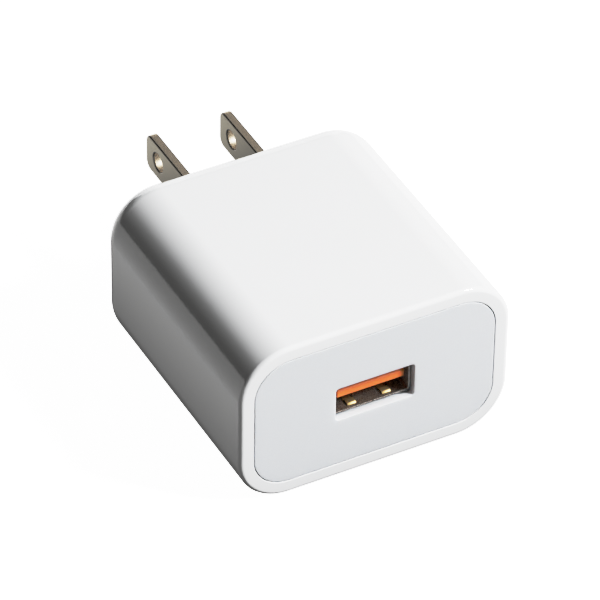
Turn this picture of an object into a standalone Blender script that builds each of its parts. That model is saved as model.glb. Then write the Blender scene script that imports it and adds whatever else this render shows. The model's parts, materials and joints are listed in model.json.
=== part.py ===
"""USB wall charger: a rounded case with one USB-A port and a pair of prongs that fold into its back.

Metres, +Z up. The port faces -Y, the open prongs point to +Y, and the wide bottom face rests on Z = 0.
The origin is on that resting face, in the middle of the whole length. Left is -X and right is +X.
"""

from math import cos, pi, sin

import bmesh
import bpy
from mathutils import Matrix, Vector

# Gaps between pieces
TOUCH_GAP = 0.0003  # between two pieces that touch
RUNNING_GAP = 0.0001  # round a pin or a screw in its hole
FITTED_GAP = 0.00015  # round a piece that is moulded in or pressed in

# Case: an open-fronted bucket with a rounded section
CASE_WIDTH = 0.0449
CASE_HEIGHT = 0.0279
CASE_DEPTH = 0.0454
CASE_CORNER = 0.0083
CASE_WALL = 0.00235
FRONT_EDGE = 0.0007
BACK_EDGE = 0.0039

# Front cover: a flush plate with locating walls and two snap hooks
COVER_THICKNESS = 0.0020
COVER_SEAM = 0.00028
LOCATING_WALL = 0.0010
LOCATING_DEPTH = 0.0030
LOCATING_SPAN = 0.0100
HOOK_WIDTH = 0.0050
HOOK_RISE = 0.0005
HOOK_LENGTH = 0.0012
STOP_SIZE = 0.0025

# USB-A port
PORT_WIDTH = 0.0132
PORT_HEIGHT = 0.0060
PORT_CORNER = 0.00055
PORT_LIP = 0.0011
PORT_RELIEF = 0.00025
SHELL_SETBACK = 0.0013
SHELL_BORE_WIDTH = 0.0125
SHELL_BORE_HEIGHT = 0.00512
SHELL_WALL = 0.0003
SHELL_LENGTH = 0.0140
SHELL_CORNER = 0.0005
LEG_WIDTH = 0.0020
LEG_REACH = 0.0026
LEG_SETBACK = 0.0090
TONGUE_WIDTH = 0.0111
TONGUE_THICKNESS = 0.00184
TONGUE_DROP = 0.0001  # how far its underside is below the middle of the port
TONGUE_SETBACK = 0.0002  # behind the edge of the shell
TONGUE_TOP_CHAMFER = 0.0007
TONGUE_LOW_CHAMFER = 0.0002
INSULATOR_LENGTH = 0.0048
CONTACT_PLACES = (-0.0035, -0.0010, 0.0010, 0.0035)
CONTACT_WIDTH = 0.0010
CONTACT_THICKNESS = 0.00025
CONTACT_SAG = 0.00045
CONTACT_TIP_SETBACK = 0.0016
GROOVE_DEPTH = 0.0009
TAIL_REACH = 0.0017
LATCH_PLACE = 0.0029
LATCH_WIDTH = 0.0015
LATCH_LENGTH = 0.0048
LATCH_RISE = 0.00035
LATCH_SETBACK = 0.0008  # behind the edge of the shell

# Prongs: two flat blades on a moulded carrier that turns in the back wall
PRONG_SPACING = 0.0127
PRONG_WIDTH = 0.00635
PRONG_THICKNESS = 0.0015
PRONG_LENGTH = 0.0159
PRONG_TIP_RADIUS = 0.0014
PRONG_EDGE = 0.00025
PRONG_HOLE_RADIUS = 0.00159
PRONG_HOLE_PLACE = 0.0119  # from the back face
PRONG_HEIGHT = 0.0194  # of the middle of the open blades
PIVOT_RISE = 0.0013  # of the pivot above the middle of the blades
FOLD_RECESS = 0.0004  # of the folded blades below the back face
SLOT_CLEARANCE = 0.00045
SLOT_END_CLEARANCE = 0.0003
POCKET_WALL = 0.0009
BARREL_INSET = 0.0002
CARRIER_SHOULDER = 0.0013
CARRIER_REACH = 0.0046
CARRIER_CHAMFER = 0.0014
CARRIER_HEEL = 0.0007  # cut off the corner that comes up under the roof when the blades fold
CAM_WIDTH = 0.0064
CAM_REACH = 0.0041
CAM_CHAMFER = 0.0012
TRUNNION_RADIUS = 0.0012
TRUNNION_LENGTH = 0.0037
CONTACT_LUG = 0.0015
LUG_PLACE = 0.00265
LUG_REACH = 0.0005
FINGER_SCOOP_RADIUS = 0.0070
FINGER_SCOOP_DEPTH = 0.0013
FINGER_SCOOP_WIDTH = 0.0220
FINGER_SCOOP_HEIGHT = 0.0078

# Retainer that closes the bearings, its screws, the detent spring and the mains springs
BEARING_WIDTH = 0.0022
BEARING_DEPTH = 0.0022
BEARING_WALL = 0.0013
BRIDGE_THICKNESS = 0.0016
BRIDGE_BELOW = 0.0032
BRIDGE_ABOVE = 0.0042
EAR_THICKNESS = 0.0017
EAR_LENGTH = 0.0048
BOSS_RADIUS = 0.0022
SCREW_RADIUS = 0.0008
SCREW_LENGTH = 0.0048
SCREW_HEAD_RADIUS = 0.0017
SCREW_HEAD_HEIGHT = 0.0011
DETENT_THICKNESS = 0.0003
DETENT_WIDTH = 0.0050
MAINS_SPRING_THICKNESS = 0.0004
MAINS_SPRING_WIDTH = 0.0016

# Board and its parts
BOARD_THICKNESS = 0.0016
BOARD_SIDE_GAP = 0.0004
BOARD_SETBACK = 0.0056
RAIL_WIDTH = 0.0012
RAIL_THICKNESS = 0.0010
RAIL_START = 0.0062
CORE_WIDTH = 0.0160
CORE_LENGTH = 0.0140
CORE_THICKNESS = 0.0048
CORE_PLATE = 0.0021
CORE_OUTER_LEG = 0.0020
CORE_MIDDLE_LEG = 0.0040
TRANSFORMER_HEIGHT = 0.0132
FLANGE_THICKNESS = 0.0008
BOBBIN_WALL = 0.0007
TAPE_THICKNESS = 0.0003
BULK_RADIUS = 0.0040
BULK_HEIGHT = 0.0125
OUTPUT_RADIUS = 0.0040
OUTPUT_HEIGHT = 0.0090
LEAD_RADIUS = 0.0003
SHEET_THICKNESS = 0.0003
SHEET_WIDTH = 0.0300
PAD_SIZE = (0.0076, 0.0066)
RESISTOR_SIZE = (0.0016, 0.0032, 0.0006)
RESISTOR_PLACES = (0.0070, 0.0110, 0.0150)
RESISTOR_ROW = 0.0060  # behind the middle of the transformer
CHIPS = (
    # name, x, y behind the middle of the transformer (None: close behind the port's tails), package size,
    # leads: (count per side, width, reach)
    ("bridge_rectifier", -0.0125, 0.0040, (0.0047, 0.0039, 0.0025), (2, 0.0007, 0.0012)),
    ("switching_transistor", -0.0110, -0.0055, (0.0066, 0.0061, 0.0023), (3, 0.0008, 0.0015)),
    ("controller_chip", 0.0, 0.0040, (0.0049, 0.0039, 0.0015), (4, 0.0004, 0.0011)),
    ("optocoupler", 0.0, None, (0.0046, 0.0065, 0.0035), (2, 0.0006, 0.0015)),
    ("output_diode", 0.0100, -0.0040, (0.0070, 0.0060, 0.0023), (1, 0.0030, 0.0005)),
)

# Facets
CORNER_STEPS = 9
EDGE_STEPS = 6
FINE_SIDES = 24
PLAIN_SIDES = 16

# Places that follow from the sizes
FRONT = -(CASE_DEPTH + PRONG_LENGTH) / 2
BACK = FRONT + CASE_DEPTH
MIDDLE = CASE_HEIGHT / 2
INNER_SIDE = CASE_WIDTH / 2 - CASE_WALL
INNER_FLOOR = CASE_WALL
INNER_BACK = BACK - CASE_WALL
COVER_BACK = FRONT + COVER_THICKNESS
PIVOT_Y = BACK - PRONG_WIDTH / 2 - FOLD_RECESS + PIVOT_RISE
PIVOT_Z = PRONG_HEIGHT + PIVOT_RISE
BLADE_TOP = PIVOT_Z - PIVOT_RISE + PRONG_WIDTH / 2
BLADE_BOTTOM = BLADE_TOP - PRONG_WIDTH
FOLDED_TIP = PIVOT_Z - (BACK + PRONG_LENGTH - PIVOT_Y)
BARREL_RADIUS = BACK - PIVOT_Y - BARREL_INSET
CARRIER_END = PRONG_SPACING / 2 + PRONG_THICKNESS / 2 + CARRIER_SHOULDER
LUG_END = CARRIER_END + LUG_REACH
MAINS_SPRING_SIDE = LUG_END + TOUCH_GAP
BEARING_START = MAINS_SPRING_SIDE + MAINS_SPRING_THICKNESS + TOUCH_GAP
BEARING_END = BEARING_START + BEARING_WIDTH
CARRIER_SWEEP = (CARRIER_REACH**2 + (CARRIER_REACH - CARRIER_CHAMFER) ** 2) ** 0.5
CAM_SWEEP = (CAM_REACH**2 + (CAM_REACH - CAM_CHAMFER) ** 2) ** 0.5
BRIDGE_FRONT = PIVOT_Y - CARRIER_SWEEP - 2 * TOUCH_GAP - BRIDGE_THICKNESS
POCKET_FRONT = PIVOT_Y + (BLADE_BOTTOM - PIVOT_Z) - SLOT_CLEARANCE - POCKET_WALL
POCKET_TOP = PIVOT_Z - CARRIER_REACH - 2 * TOUCH_GAP
SHELL_FRONT = FRONT + SHELL_SETBACK
SHELL_BOTTOM = MIDDLE - SHELL_BORE_HEIGHT / 2 - SHELL_WALL
BOARD_TOP = SHELL_BOTTOM - TOUCH_GAP
BOARD_BOTTOM = BOARD_TOP - BOARD_THICKNESS
BOARD_FRONT = FRONT + BOARD_SETBACK
BOARD_BACK = POCKET_FRONT - 2 * TOUCH_GAP
BOARD_SIDE = INNER_SIDE - BOARD_SIDE_GAP
SHEET_TOP = INNER_FLOOR + TOUCH_GAP + SHEET_THICKNESS


# ---------------------------------------------------------------- building blocks


def clear_scene():
    for obj in list(bpy.data.objects):
        bpy.data.objects.remove(obj, do_unlink=True)


def make_material(name, colour, roughness, metallic=0.0):
    material = bpy.data.materials.new(name)
    material.use_nodes = True
    shader = material.node_tree.nodes["Principled BSDF"]
    shader.inputs["Base Color"].default_value = (*colour, 1.0)
    shader.inputs["Roughness"].default_value = roughness
    shader.inputs["Metallic"].default_value = metallic
    material.diffuse_color = (*colour, 1.0)
    return material


def make_object(name, shape, material=None):
    """Turn a bmesh into an object with its faces pointing out. Without a material it is a hidden helper."""
    bmesh.ops.recalc_face_normals(shape, faces=shape.faces)
    mesh = bpy.data.meshes.new(name)
    shape.to_mesh(mesh)
    shape.free()
    mesh.shade_smooth()
    mesh.set_sharp_from_angle(angle=pi / 6)
    obj = bpy.data.objects.new(name, mesh)
    bpy.context.scene.collection.objects.link(obj)
    if material:
        mesh.materials.append(material)
    else:
        obj.hide_render = True
        obj.display_type = "WIRE"
    return obj


def skin(shape, loops):
    """Join loops of vertices one after another and close both ends."""
    for first, second in zip(loops, loops[1:]):
        for i in range(len(first)):
            j = (i + 1) % len(first)
            shape.faces.new((first[i], first[j], second[j], second[i]))
    shape.faces.new(loops[0])
    shape.faces.new(loops[-1])


def prism(name, outline, axis, low, high, material=None):
    """Pull an outline along an axis. The outline is (y, z) for X, (x, z) for Y and (x, y) for Z."""
    place = {
        "X": lambda a, b, along: (along, a, b),
        "Y": lambda a, b, along: (a, along, b),
        "Z": lambda a, b, along: (a, b, along),
    }[axis]
    shape = bmesh.new()
    loops = [[shape.verts.new(place(a, b, along)) for a, b in outline] for along in (low, high)]
    skin(shape, loops)
    return make_object(name, shape, material)


def block(name, x, y, z, material=None):
    """A box from (low, high) pairs."""
    outline = [(x[0], y[0]), (x[1], y[0]), (x[1], y[1]), (x[0], y[1])]
    return prism(name, outline, "Z", z[0], z[1], material)


def circle(radius, centre=(0.0, 0.0), sides=PLAIN_SIDES):
    turn = 2 * pi / sides
    return [(centre[0] + radius * cos(i * turn), centre[1] + radius * sin(i * turn)) for i in range(sides)]


def rounded_rectangle(width, height, radius, centre=(0.0, 0.0), steps=CORNER_STEPS):
    points = []
    for quarter, (side, up) in enumerate(((1, 1), (-1, 1), (-1, -1), (1, -1))):
        a = centre[0] + side * (width / 2 - radius)
        b = centre[1] + up * (height / 2 - radius)
        for step in range(steps + 1):
            angle = (quarter + step / steps) * pi / 2
            points.append((a + radius * cos(angle), b + radius * sin(angle)))
    return points


def loft(name, rings, material=None):
    """A body through upright rounded rectangles about the middle of the case: (y, width, height, radius)."""
    shape = bmesh.new()
    loops = []
    for y, width, height, radius in rings:
        outline = rounded_rectangle(width, height, radius, (0.0, MIDDLE))
        loops.append([shape.verts.new((x, y, z)) for x, z in outline])
    skin(shape, loops)
    return make_object(name, shape, material)


def turned(name, profile, centre, sides, material=None):
    """Turn (radius, z) points round an upright axis at centre."""
    shape = bmesh.new()
    loops = [[shape.verts.new((x, y, z)) for x, y in circle(radius, centre, sides)] for radius, z in profile]
    skin(shape, loops)
    return make_object(name, shape, material)


def combine(target, piece, operation):
    piece.hide_render = True
    piece.display_type = "WIRE"
    modifier = target.modifiers.new(operation.title() + " " + piece.name, "BOOLEAN")
    modifier.operation = operation
    modifier.solver = "EXACT"
    modifier.object = piece


def cut(target, piece):
    combine(target, piece, "DIFFERENCE")


def add(target, piece):
    combine(target, piece, "UNION")


def soften(target, width, segments=2):
    """Round every sharp edge before anything is cut or added."""
    modifier = target.modifiers.new("Soft edges", "BEVEL")
    modifier.width = width
    modifier.segments = segments
    modifier.limit_method = "ANGLE"
    modifier.angle_limit = pi / 4


def strip(points, thickness):
    """The outline of a sheet-metal strip that follows a line of points, laid to one side of it."""
    offsets = []
    for i, point in enumerate(points):
        before = Vector(points[max(i - 1, 0)])
        after = Vector(points[min(i + 1, len(points) - 1)])
        along = (after - before).normalized()
        offsets.append((point[0] - along.y * thickness, point[1] + along.x * thickness))
    return list(points) + offsets[::-1]


def make_joint_axis(name, place):
    empty = bpy.data.objects.new(name, None)
    empty.location = place
    bpy.context.scene.collection.objects.link(empty)
    return empty


def hang_on(axis, *pieces):
    """Put each piece's origin on a joint's axis, and parent it to the empty there."""
    for piece in pieces:
        piece.data.transform(Matrix.Translation(-axis.location))
        piece.parent = axis


# ---------------------------------------------------------------- case and cover


def rounded_end(y_end, direction, edge, width, height, corner, steps):
    """Rings that round the end of a loft off with a quarter circle of radius edge."""
    rings = []
    for step in range(steps + 1):
        angle = step / steps * pi / 2
        inset = edge * (1 - cos(angle))
        y = y_end - direction * edge * (1 - sin(angle))
        rings.append((y, width - 2 * inset, height - 2 * inset, corner - inset))
    return rings


def make_case(material):
    size = (CASE_WIDTH, CASE_HEIGHT, CASE_CORNER)
    front = rounded_end(FRONT, -1, FRONT_EDGE, *size, 3)[::-1]
    back = rounded_end(BACK, 1, BACK_EDGE, *size, EDGE_STEPS)
    case = loft("case", front + back, material)

    inner_size = (CASE_WIDTH - 2 * CASE_WALL, CASE_HEIGHT - 2 * CASE_WALL, CASE_CORNER - CASE_WALL)
    inner_edge = max(BACK_EDGE - CASE_WALL, TOUCH_GAP)
    hollow_rings = [(FRONT - CASE_WALL, *inner_size)]
    hollow_rings += rounded_end(INNER_BACK, 1, inner_edge, *inner_size, 3)
    cut(case, loft("case_hollow", hollow_rings))

    add_cover_stops(case)
    add_board_rails(case)
    add_prong_pockets(case)
    add_bearings(case)
    cut_prong_openings(case)
    cut_hook_recesses(case)
    return case


def add_cover_stops(case):
    """Four posts in the corners, whose ends stop the cover."""
    out_x = INNER_SIDE - (1 - 0.7071) * (CASE_CORNER - CASE_WALL)
    out_z = MIDDLE - INNER_FLOOR - (1 - 0.7071) * (CASE_CORNER - CASE_WALL)
    for i, (side, up) in enumerate(((1, 1), (-1, 1), (-1, -1), (1, -1))):
        x = sorted((side * (out_x - STOP_SIZE / 2), side * (out_x + CASE_WALL / 2)))
        z = sorted((MIDDLE + up * (out_z - STOP_SIZE / 2), MIDDLE + up * (out_z + CASE_WALL / 2)))
        y = (COVER_BACK + TOUCH_GAP, BOARD_FRONT + BOARD_SETBACK)
        add(case, block(f"cover_stop_{i + 1}", x, y, z))


def add_board_rails(case):
    """Two ribs on each side wall, which hold the edge of the board between them."""
    for side in (-1, 1):
        x = sorted((side * (INNER_SIDE - RAIL_WIDTH), side * (INNER_SIDE + CASE_WALL / 2)))
        y = (FRONT + RAIL_START, BOARD_BACK)
        for level, low in (
            ("upper", BOARD_TOP + TOUCH_GAP),
            ("lower", BOARD_BOTTOM - TOUCH_GAP - RAIL_THICKNESS),
        ):
            name = f"{level}_rail_{'left' if side < 0 else 'right'}"
            add(case, block(name, x, y, (low, low + RAIL_THICKNESS)))


def add_prong_pockets(case):
    """The walls round each folded blade, which keep it apart from the board."""
    reach = PRONG_THICKNESS / 2 + SLOT_CLEARANCE + POCKET_WALL
    for side in (-1, 1):
        middle = side * PRONG_SPACING / 2
        x = (middle - reach, middle + reach)
        y = (POCKET_FRONT, INNER_BACK + CASE_WALL / 2)
        z = (INNER_FLOOR - CASE_WALL / 2, POCKET_TOP)
        add(case, block(f"pocket_wall_{side}", x, y, z))


def add_bearings(case):
    """Blocks for the trunnions and round bosses for the retainer's screws."""
    for side in (-1, 1):
        x = sorted((side * BEARING_START, side * (BEARING_END + BEARING_WALL)))
        y = (INNER_BACK - BEARING_DEPTH, INNER_BACK + CASE_WALL / 2)
        half = TRUNNION_RADIUS + BEARING_WALL
        add(case, block(f"bearing_{side}", x, y, (PIVOT_Z - half, PIVOT_Z + half)))
        boss = circle(BOSS_RADIUS, (side * screw_place(), PIVOT_Z), FINE_SIDES)
        add(case, prism(f"screw_boss_{side}", boss, "Y", y[0], y[1]))


def screw_place():
    return BEARING_END + BEARING_WALL + EAR_LENGTH / 2


def cut_prong_openings(case):
    """The barrel's window, a slot for each folded blade, bearing grooves, screw holes and a finger scoop."""
    half_window = BARREL_RADIUS + TOUCH_GAP
    window_end = CARRIER_END + TOUCH_GAP
    window_z = (PIVOT_Z - half_window, PIVOT_Z + half_window)
    window_y = (INNER_BACK - CASE_WALL, BACK + CASE_WALL)
    cut(case, block("barrel_window", (-window_end, window_end), window_y, window_z))
    half_slot = PRONG_THICKNESS / 2 + SLOT_CLEARANCE
    for side in (-1, 1):
        middle = side * PRONG_SPACING / 2
        x = (middle - half_slot, middle + half_slot)
        y = (POCKET_FRONT + POCKET_WALL, BACK + CASE_WALL)
        z = (FOLDED_TIP - SLOT_END_CLEARANCE, PIVOT_Z)
        cut(case, block(f"prong_slot_{side}", x, y, z))
        groove_x = sorted((side * (CARRIER_END - TOUCH_GAP), side * (BEARING_END + RUNNING_GAP)))
        cut(case, prism(f"bearing_groove_{side}", bearing_groove(), "X", *groove_x))
        hole = circle(SCREW_RADIUS + RUNNING_GAP, (side * screw_place(), PIVOT_Z), FINE_SIDES)
        deepest = INNER_BACK + CASE_WALL / 2
        cut(case, prism(f"screw_hole_{side}", hole, "Y", INNER_BACK - 2 * BEARING_DEPTH, deepest))
    scoop_middle = (BACK + FINGER_SCOOP_RADIUS - FINGER_SCOOP_DEPTH, FINGER_SCOOP_HEIGHT)
    scoop = circle(FINGER_SCOOP_RADIUS, scoop_middle, 2 * FINE_SIDES)
    cut(case, prism("finger_scoop", scoop, "X", -FINGER_SCOOP_WIDTH / 2, FINGER_SCOOP_WIDTH / 2))


def bearing_groove():
    """A slot that is open towards the inside and ends in a half circle round the pivot."""
    radius = TRUNNION_RADIUS + RUNNING_GAP
    inside = INNER_BACK - 2 * BEARING_DEPTH
    points = [(inside, PIVOT_Z + radius), (inside, PIVOT_Z - radius)]
    steps = PLAIN_SIDES // 2
    for step in range(steps + 1):
        angle = -pi / 2 + step / steps * pi
        points.append((PIVOT_Y + radius * cos(angle), PIVOT_Z + radius * sin(angle)))
    return points


def hook_y():
    """From where to where the snap hooks stand out of the side locating walls."""
    back = COVER_BACK + LOCATING_DEPTH - TOUCH_GAP
    return back - HOOK_LENGTH, back


def cut_hook_recesses(case):
    front, back = hook_y()
    half = HOOK_WIDTH / 2 + TOUCH_GAP
    for side in (-1, 1):
        x = sorted((side * (INNER_SIDE - RAIL_WIDTH / 2), side * (INNER_SIDE + HOOK_RISE)))
        y = (front - TOUCH_GAP, back + TOUCH_GAP)
        cut(case, block(f"hook_recess_{side}", x, y, (MIDDLE - half, MIDDLE + half)))


def make_front_cover(material):
    width = CASE_WIDTH - 2 * (CASE_WALL + COVER_SEAM)
    height = CASE_HEIGHT - 2 * (CASE_WALL + COVER_SEAM)
    corner = CASE_CORNER - CASE_WALL - COVER_SEAM
    rings = [(y, width, height, corner) for y in (FRONT, COVER_BACK)]
    cover = loft("front_cover", rings, material)
    add_locating_walls(cover, width, height)
    port = rounded_rectangle(PORT_WIDTH, PORT_HEIGHT, PORT_CORNER, (0.0, MIDDLE), 4)
    cut(cover, prism("port_aperture", port, "Y", FRONT - CASE_WALL, COVER_BACK + CASE_WALL))
    relief_size = (PORT_WIDTH + 2 * PORT_RELIEF, PORT_HEIGHT + 2 * PORT_RELIEF, PORT_CORNER + PORT_RELIEF)
    relief = rounded_rectangle(*relief_size, (0.0, MIDDLE), 4)
    cut(cover, prism("port_relief", relief, "Y", FRONT + PORT_LIP, COVER_BACK + CASE_WALL))
    return cover


def add_locating_walls(cover, width, height):
    """Short walls behind the plate, just inside the case, the side ones with a snap hook."""
    y = (COVER_BACK - COVER_THICKNESS / 2, COVER_BACK + LOCATING_DEPTH)
    half = LOCATING_SPAN / 2
    for side in (-1, 1):
        name = "left" if side < 0 else "right"
        x = sorted((side * width / 2, side * (width / 2 - LOCATING_WALL)))
        add(cover, block(f"locating_wall_{name}", x, y, (MIDDLE - half, MIDDLE + half)))
        hook_x = sorted((side * (width / 2 - LOCATING_WALL / 2), side * (width / 2 + HOOK_RISE)))
        hook_z = (MIDDLE - HOOK_WIDTH / 2, MIDDLE + HOOK_WIDTH / 2)
        add(cover, block(f"hook_{name}", hook_x, hook_y(), hook_z))
        z = sorted((MIDDLE + side * height / 2, MIDDLE + side * (height / 2 - LOCATING_WALL)))
        add(cover, block(f"locating_wall_{'floor' if side < 0 else 'roof'}", (-half, half), y, z))


# ---------------------------------------------------------------- prongs


def blade_outline(grow=0.0):
    """The side of a blade and its root in (y, z). A grown outline is the blade's seat in the carrier."""
    tip = BACK + PRONG_LENGTH + grow
    top, bottom = BLADE_TOP + grow, BLADE_BOTTOM - grow
    root_front = PIVOT_Y - CARRIER_REACH + CARRIER_HEEL + TOUCH_GAP - grow
    root_top = PIVOT_Z - PRONG_THICKNESS / 2 + grow
    root_bottom = PIVOT_Z - CARRIER_REACH + TOUCH_GAP + 2 * FITTED_GAP - grow
    neck = PIVOT_Y - TOUCH_GAP - grow
    points = [(root_front, root_bottom), (root_front, root_top), (neck, root_top), (neck, top)]
    for start, y, z in ((pi / 2, tip, top), (0.0, tip, bottom)):
        centre_z = z - PRONG_TIP_RADIUS if z == top else z + PRONG_TIP_RADIUS
        for step in range(6):
            angle = start - step / 5 * pi / 2
            points.append(
                (
                    y - PRONG_TIP_RADIUS + PRONG_TIP_RADIUS * cos(angle),
                    centre_z + PRONG_TIP_RADIUS * sin(angle),
                )
            )
    points += [(neck, bottom), (neck, root_bottom)]
    return points


def blade_x(side, grow=0.0):
    middle = side * PRONG_SPACING / 2
    half = PRONG_THICKNESS / 2 + grow
    return middle - half, middle + half


def lug_shape(name, side, grow=0.0):
    """The bar that carries a blade's root out to the mains spring beside the carrier."""
    half = CONTACT_LUG / 2 + grow
    x = sorted((side * PRONG_SPACING / 2, side * (LUG_END + grow)))
    y, z = PIVOT_Y - LUG_PLACE, PIVOT_Z - LUG_PLACE
    return block(name, x, (y - half, y + half), (z - half, z + half))


def make_prong(name, side, material):
    prong = prism(name, blade_outline(), "X", *blade_x(side), material)
    soften(prong, PRONG_EDGE, 1)
    add(prong, lug_shape(f"{name}_lug", side))
    hole = circle(PRONG_HOLE_RADIUS, (BACK + PRONG_HOLE_PLACE, (BLADE_TOP + BLADE_BOTTOM) / 2), FINE_SIDES)
    cut(prong, prism(f"{name}_hole", hole, "X", *blade_x(side, PRONG_THICKNESS)))
    return prong


def cornered(reach, chamfer):
    """The part of the carrier behind the wall, with the corners that sweep furthest cut off."""
    near = CASE_WALL - (BACK - PIVOT_Y) + TOUCH_GAP
    return [
        (PIVOT_Y - near, PIVOT_Z - near),
        (PIVOT_Y - reach + CARRIER_HEEL, PIVOT_Z - near),
        (PIVOT_Y - reach, PIVOT_Z - near - CARRIER_HEEL),
        (PIVOT_Y - reach, PIVOT_Z - reach + chamfer),
        (PIVOT_Y - reach + chamfer, PIVOT_Z - reach),
        (PIVOT_Y - near, PIVOT_Z - reach),
    ]


def make_prong_carrier(material):
    barrel = circle(BARREL_RADIUS, (PIVOT_Y, PIVOT_Z), FINE_SIDES)
    carrier = prism("prong_carrier", barrel, "X", -CARRIER_END, CARRIER_END, material)
    cam_half = CAM_WIDTH / 2
    add(carrier, prism("carrier_cam", cornered(CAM_REACH, CAM_CHAMFER), "X", -cam_half, cam_half))
    trunnion_end = CARRIER_END + TRUNNION_LENGTH
    trunnion = circle(TRUNNION_RADIUS, (PIVOT_Y, PIVOT_Z), PLAIN_SIDES)
    add(carrier, prism("carrier_trunnions", trunnion, "X", -trunnion_end, trunnion_end))
    for side in (-1, 1):
        name = "left" if side < 0 else "right"
        x = sorted((side * (cam_half - TOUCH_GAP), side * CARRIER_END))
        add(carrier, prism(f"carrier_block_{name}", cornered(CARRIER_REACH, CARRIER_CHAMFER), "X", *x))
        cut(carrier, prism(f"blade_seat_{name}", blade_outline(FITTED_GAP), "X", *blade_x(side, FITTED_GAP)))
        cut(carrier, lug_shape(f"lug_seat_{name}", side, FITTED_GAP))
    return carrier


def make_retainer(material):
    """A bridge with an arm behind each trunnion and a screwed ear on each arm."""
    y = (BRIDGE_FRONT, BRIDGE_FRONT + BRIDGE_THICKNESS)
    z = (PIVOT_Z - BRIDGE_BELOW, PIVOT_Z + BRIDGE_ABOVE)
    inner, outer = BEARING_START + RUNNING_GAP, BEARING_END - RUNNING_GAP
    retainer = block("prong_retainer", (-outer, outer), y, z, material)
    arm_end = PIVOT_Y - TRUNNION_RADIUS - RUNNING_GAP
    ear_back = INNER_BACK - BEARING_DEPTH - TOUCH_GAP
    half = TRUNNION_RADIUS - RUNNING_GAP
    for side in (-1, 1):
        name = "left" if side < 0 else "right"
        arm_x = sorted((side * inner, side * outer))
        add(retainer, block(f"arm_{name}", arm_x, (y[0], arm_end), (PIVOT_Z - half, PIVOT_Z + half)))
        ear_x = sorted((side * inner, side * (screw_place() + EAR_LENGTH / 2)))
        ear_z = (PIVOT_Z - BOSS_RADIUS, PIVOT_Z + BOSS_RADIUS)
        add(retainer, block(f"ear_{name}", ear_x, (ear_back - EAR_THICKNESS, ear_back), ear_z))
        hole = circle(SCREW_RADIUS + RUNNING_GAP, (side * screw_place(), PIVOT_Z), FINE_SIDES)
        cut(retainer, prism(f"ear_hole_{name}", hole, "Y", y[0], ear_back + CASE_WALL))
    return retainer


def make_retainer_screw(name, side, material):
    """A pan-head screw with a cross recess, driven in from the inside."""
    centre = (side * screw_place(), PIVOT_Z)
    seat = INNER_BACK - BEARING_DEPTH - TOUCH_GAP - EAR_THICKNESS - TOUCH_GAP
    shaft = circle(SCREW_RADIUS, centre, FINE_SIDES)
    screw = prism(name, shaft, "Y", seat - SCREW_HEAD_HEIGHT / 2, seat + SCREW_LENGTH, material)
    head = circle(SCREW_HEAD_RADIUS, centre, FINE_SIDES)
    add(screw, prism(f"{name}_head", head, "Y", seat - SCREW_HEAD_HEIGHT, seat))
    long, short = SCREW_HEAD_RADIUS * 0.6, SCREW_RADIUS * 0.3
    depth = (seat - 2 * SCREW_HEAD_HEIGHT, seat - SCREW_HEAD_HEIGHT / 2)
    for i, (a, b) in enumerate(((long, short), (short, long))):
        x = (centre[0] - a, centre[0] + a)
        cut(screw, block(f"{name}_recess_{i}", x, depth, (PIVOT_Z - b, PIVOT_Z + b)))
    return screw


def make_detent_spring(material):
    """A bent leaf on the bridge that bears on the flats of the carrier's cam."""
    foot = BRIDGE_FRONT + BRIDGE_THICKNESS + TOUCH_GAP
    crest = PIVOT_Y - CAM_SWEEP - TOUCH_GAP
    bottom, top = PIVOT_Z - BRIDGE_BELOW, PIVOT_Z + BRIDGE_ABOVE
    line = [(foot, bottom), (foot, PIVOT_Z - BRIDGE_BELOW * 0.6)]
    line += [(crest - DETENT_THICKNESS, PIVOT_Z + rise) for rise in (-CAM_CHAMFER, CAM_CHAMFER)]
    line += [(foot + DETENT_THICKNESS, top - TOUCH_GAP)]
    line = line[::-1]
    half = DETENT_WIDTH / 2
    return prism("detent_spring", strip(line, DETENT_THICKNESS), "X", -half, half, material)


def make_mains_spring(name, side, material):
    """A flat spring that stands in the board and rubs on the lug of one blade."""
    x = sorted((side * MAINS_SPRING_SIDE, side * (MAINS_SPRING_SIDE + MAINS_SPRING_THICKNESS)))
    foot_y = BOARD_BACK - MAINS_SPRING_WIDTH
    lug_y, lug_z = PIVOT_Y - LUG_PLACE, PIVOT_Z - LUG_PLACE
    line = [
        (foot_y, BOARD_BOTTOM - BOARD_THICKNESS / 2),
        (foot_y, BOARD_TOP + BOARD_THICKNESS),
        (lug_y, lug_z - MAINS_SPRING_WIDTH / 2),
        (lug_y, lug_z + CONTACT_LUG / 2),
    ]
    return prism(name, strip(line[::-1], MAINS_SPRING_WIDTH / 2), "X", *x, material)


# ---------------------------------------------------------------- USB port


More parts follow.
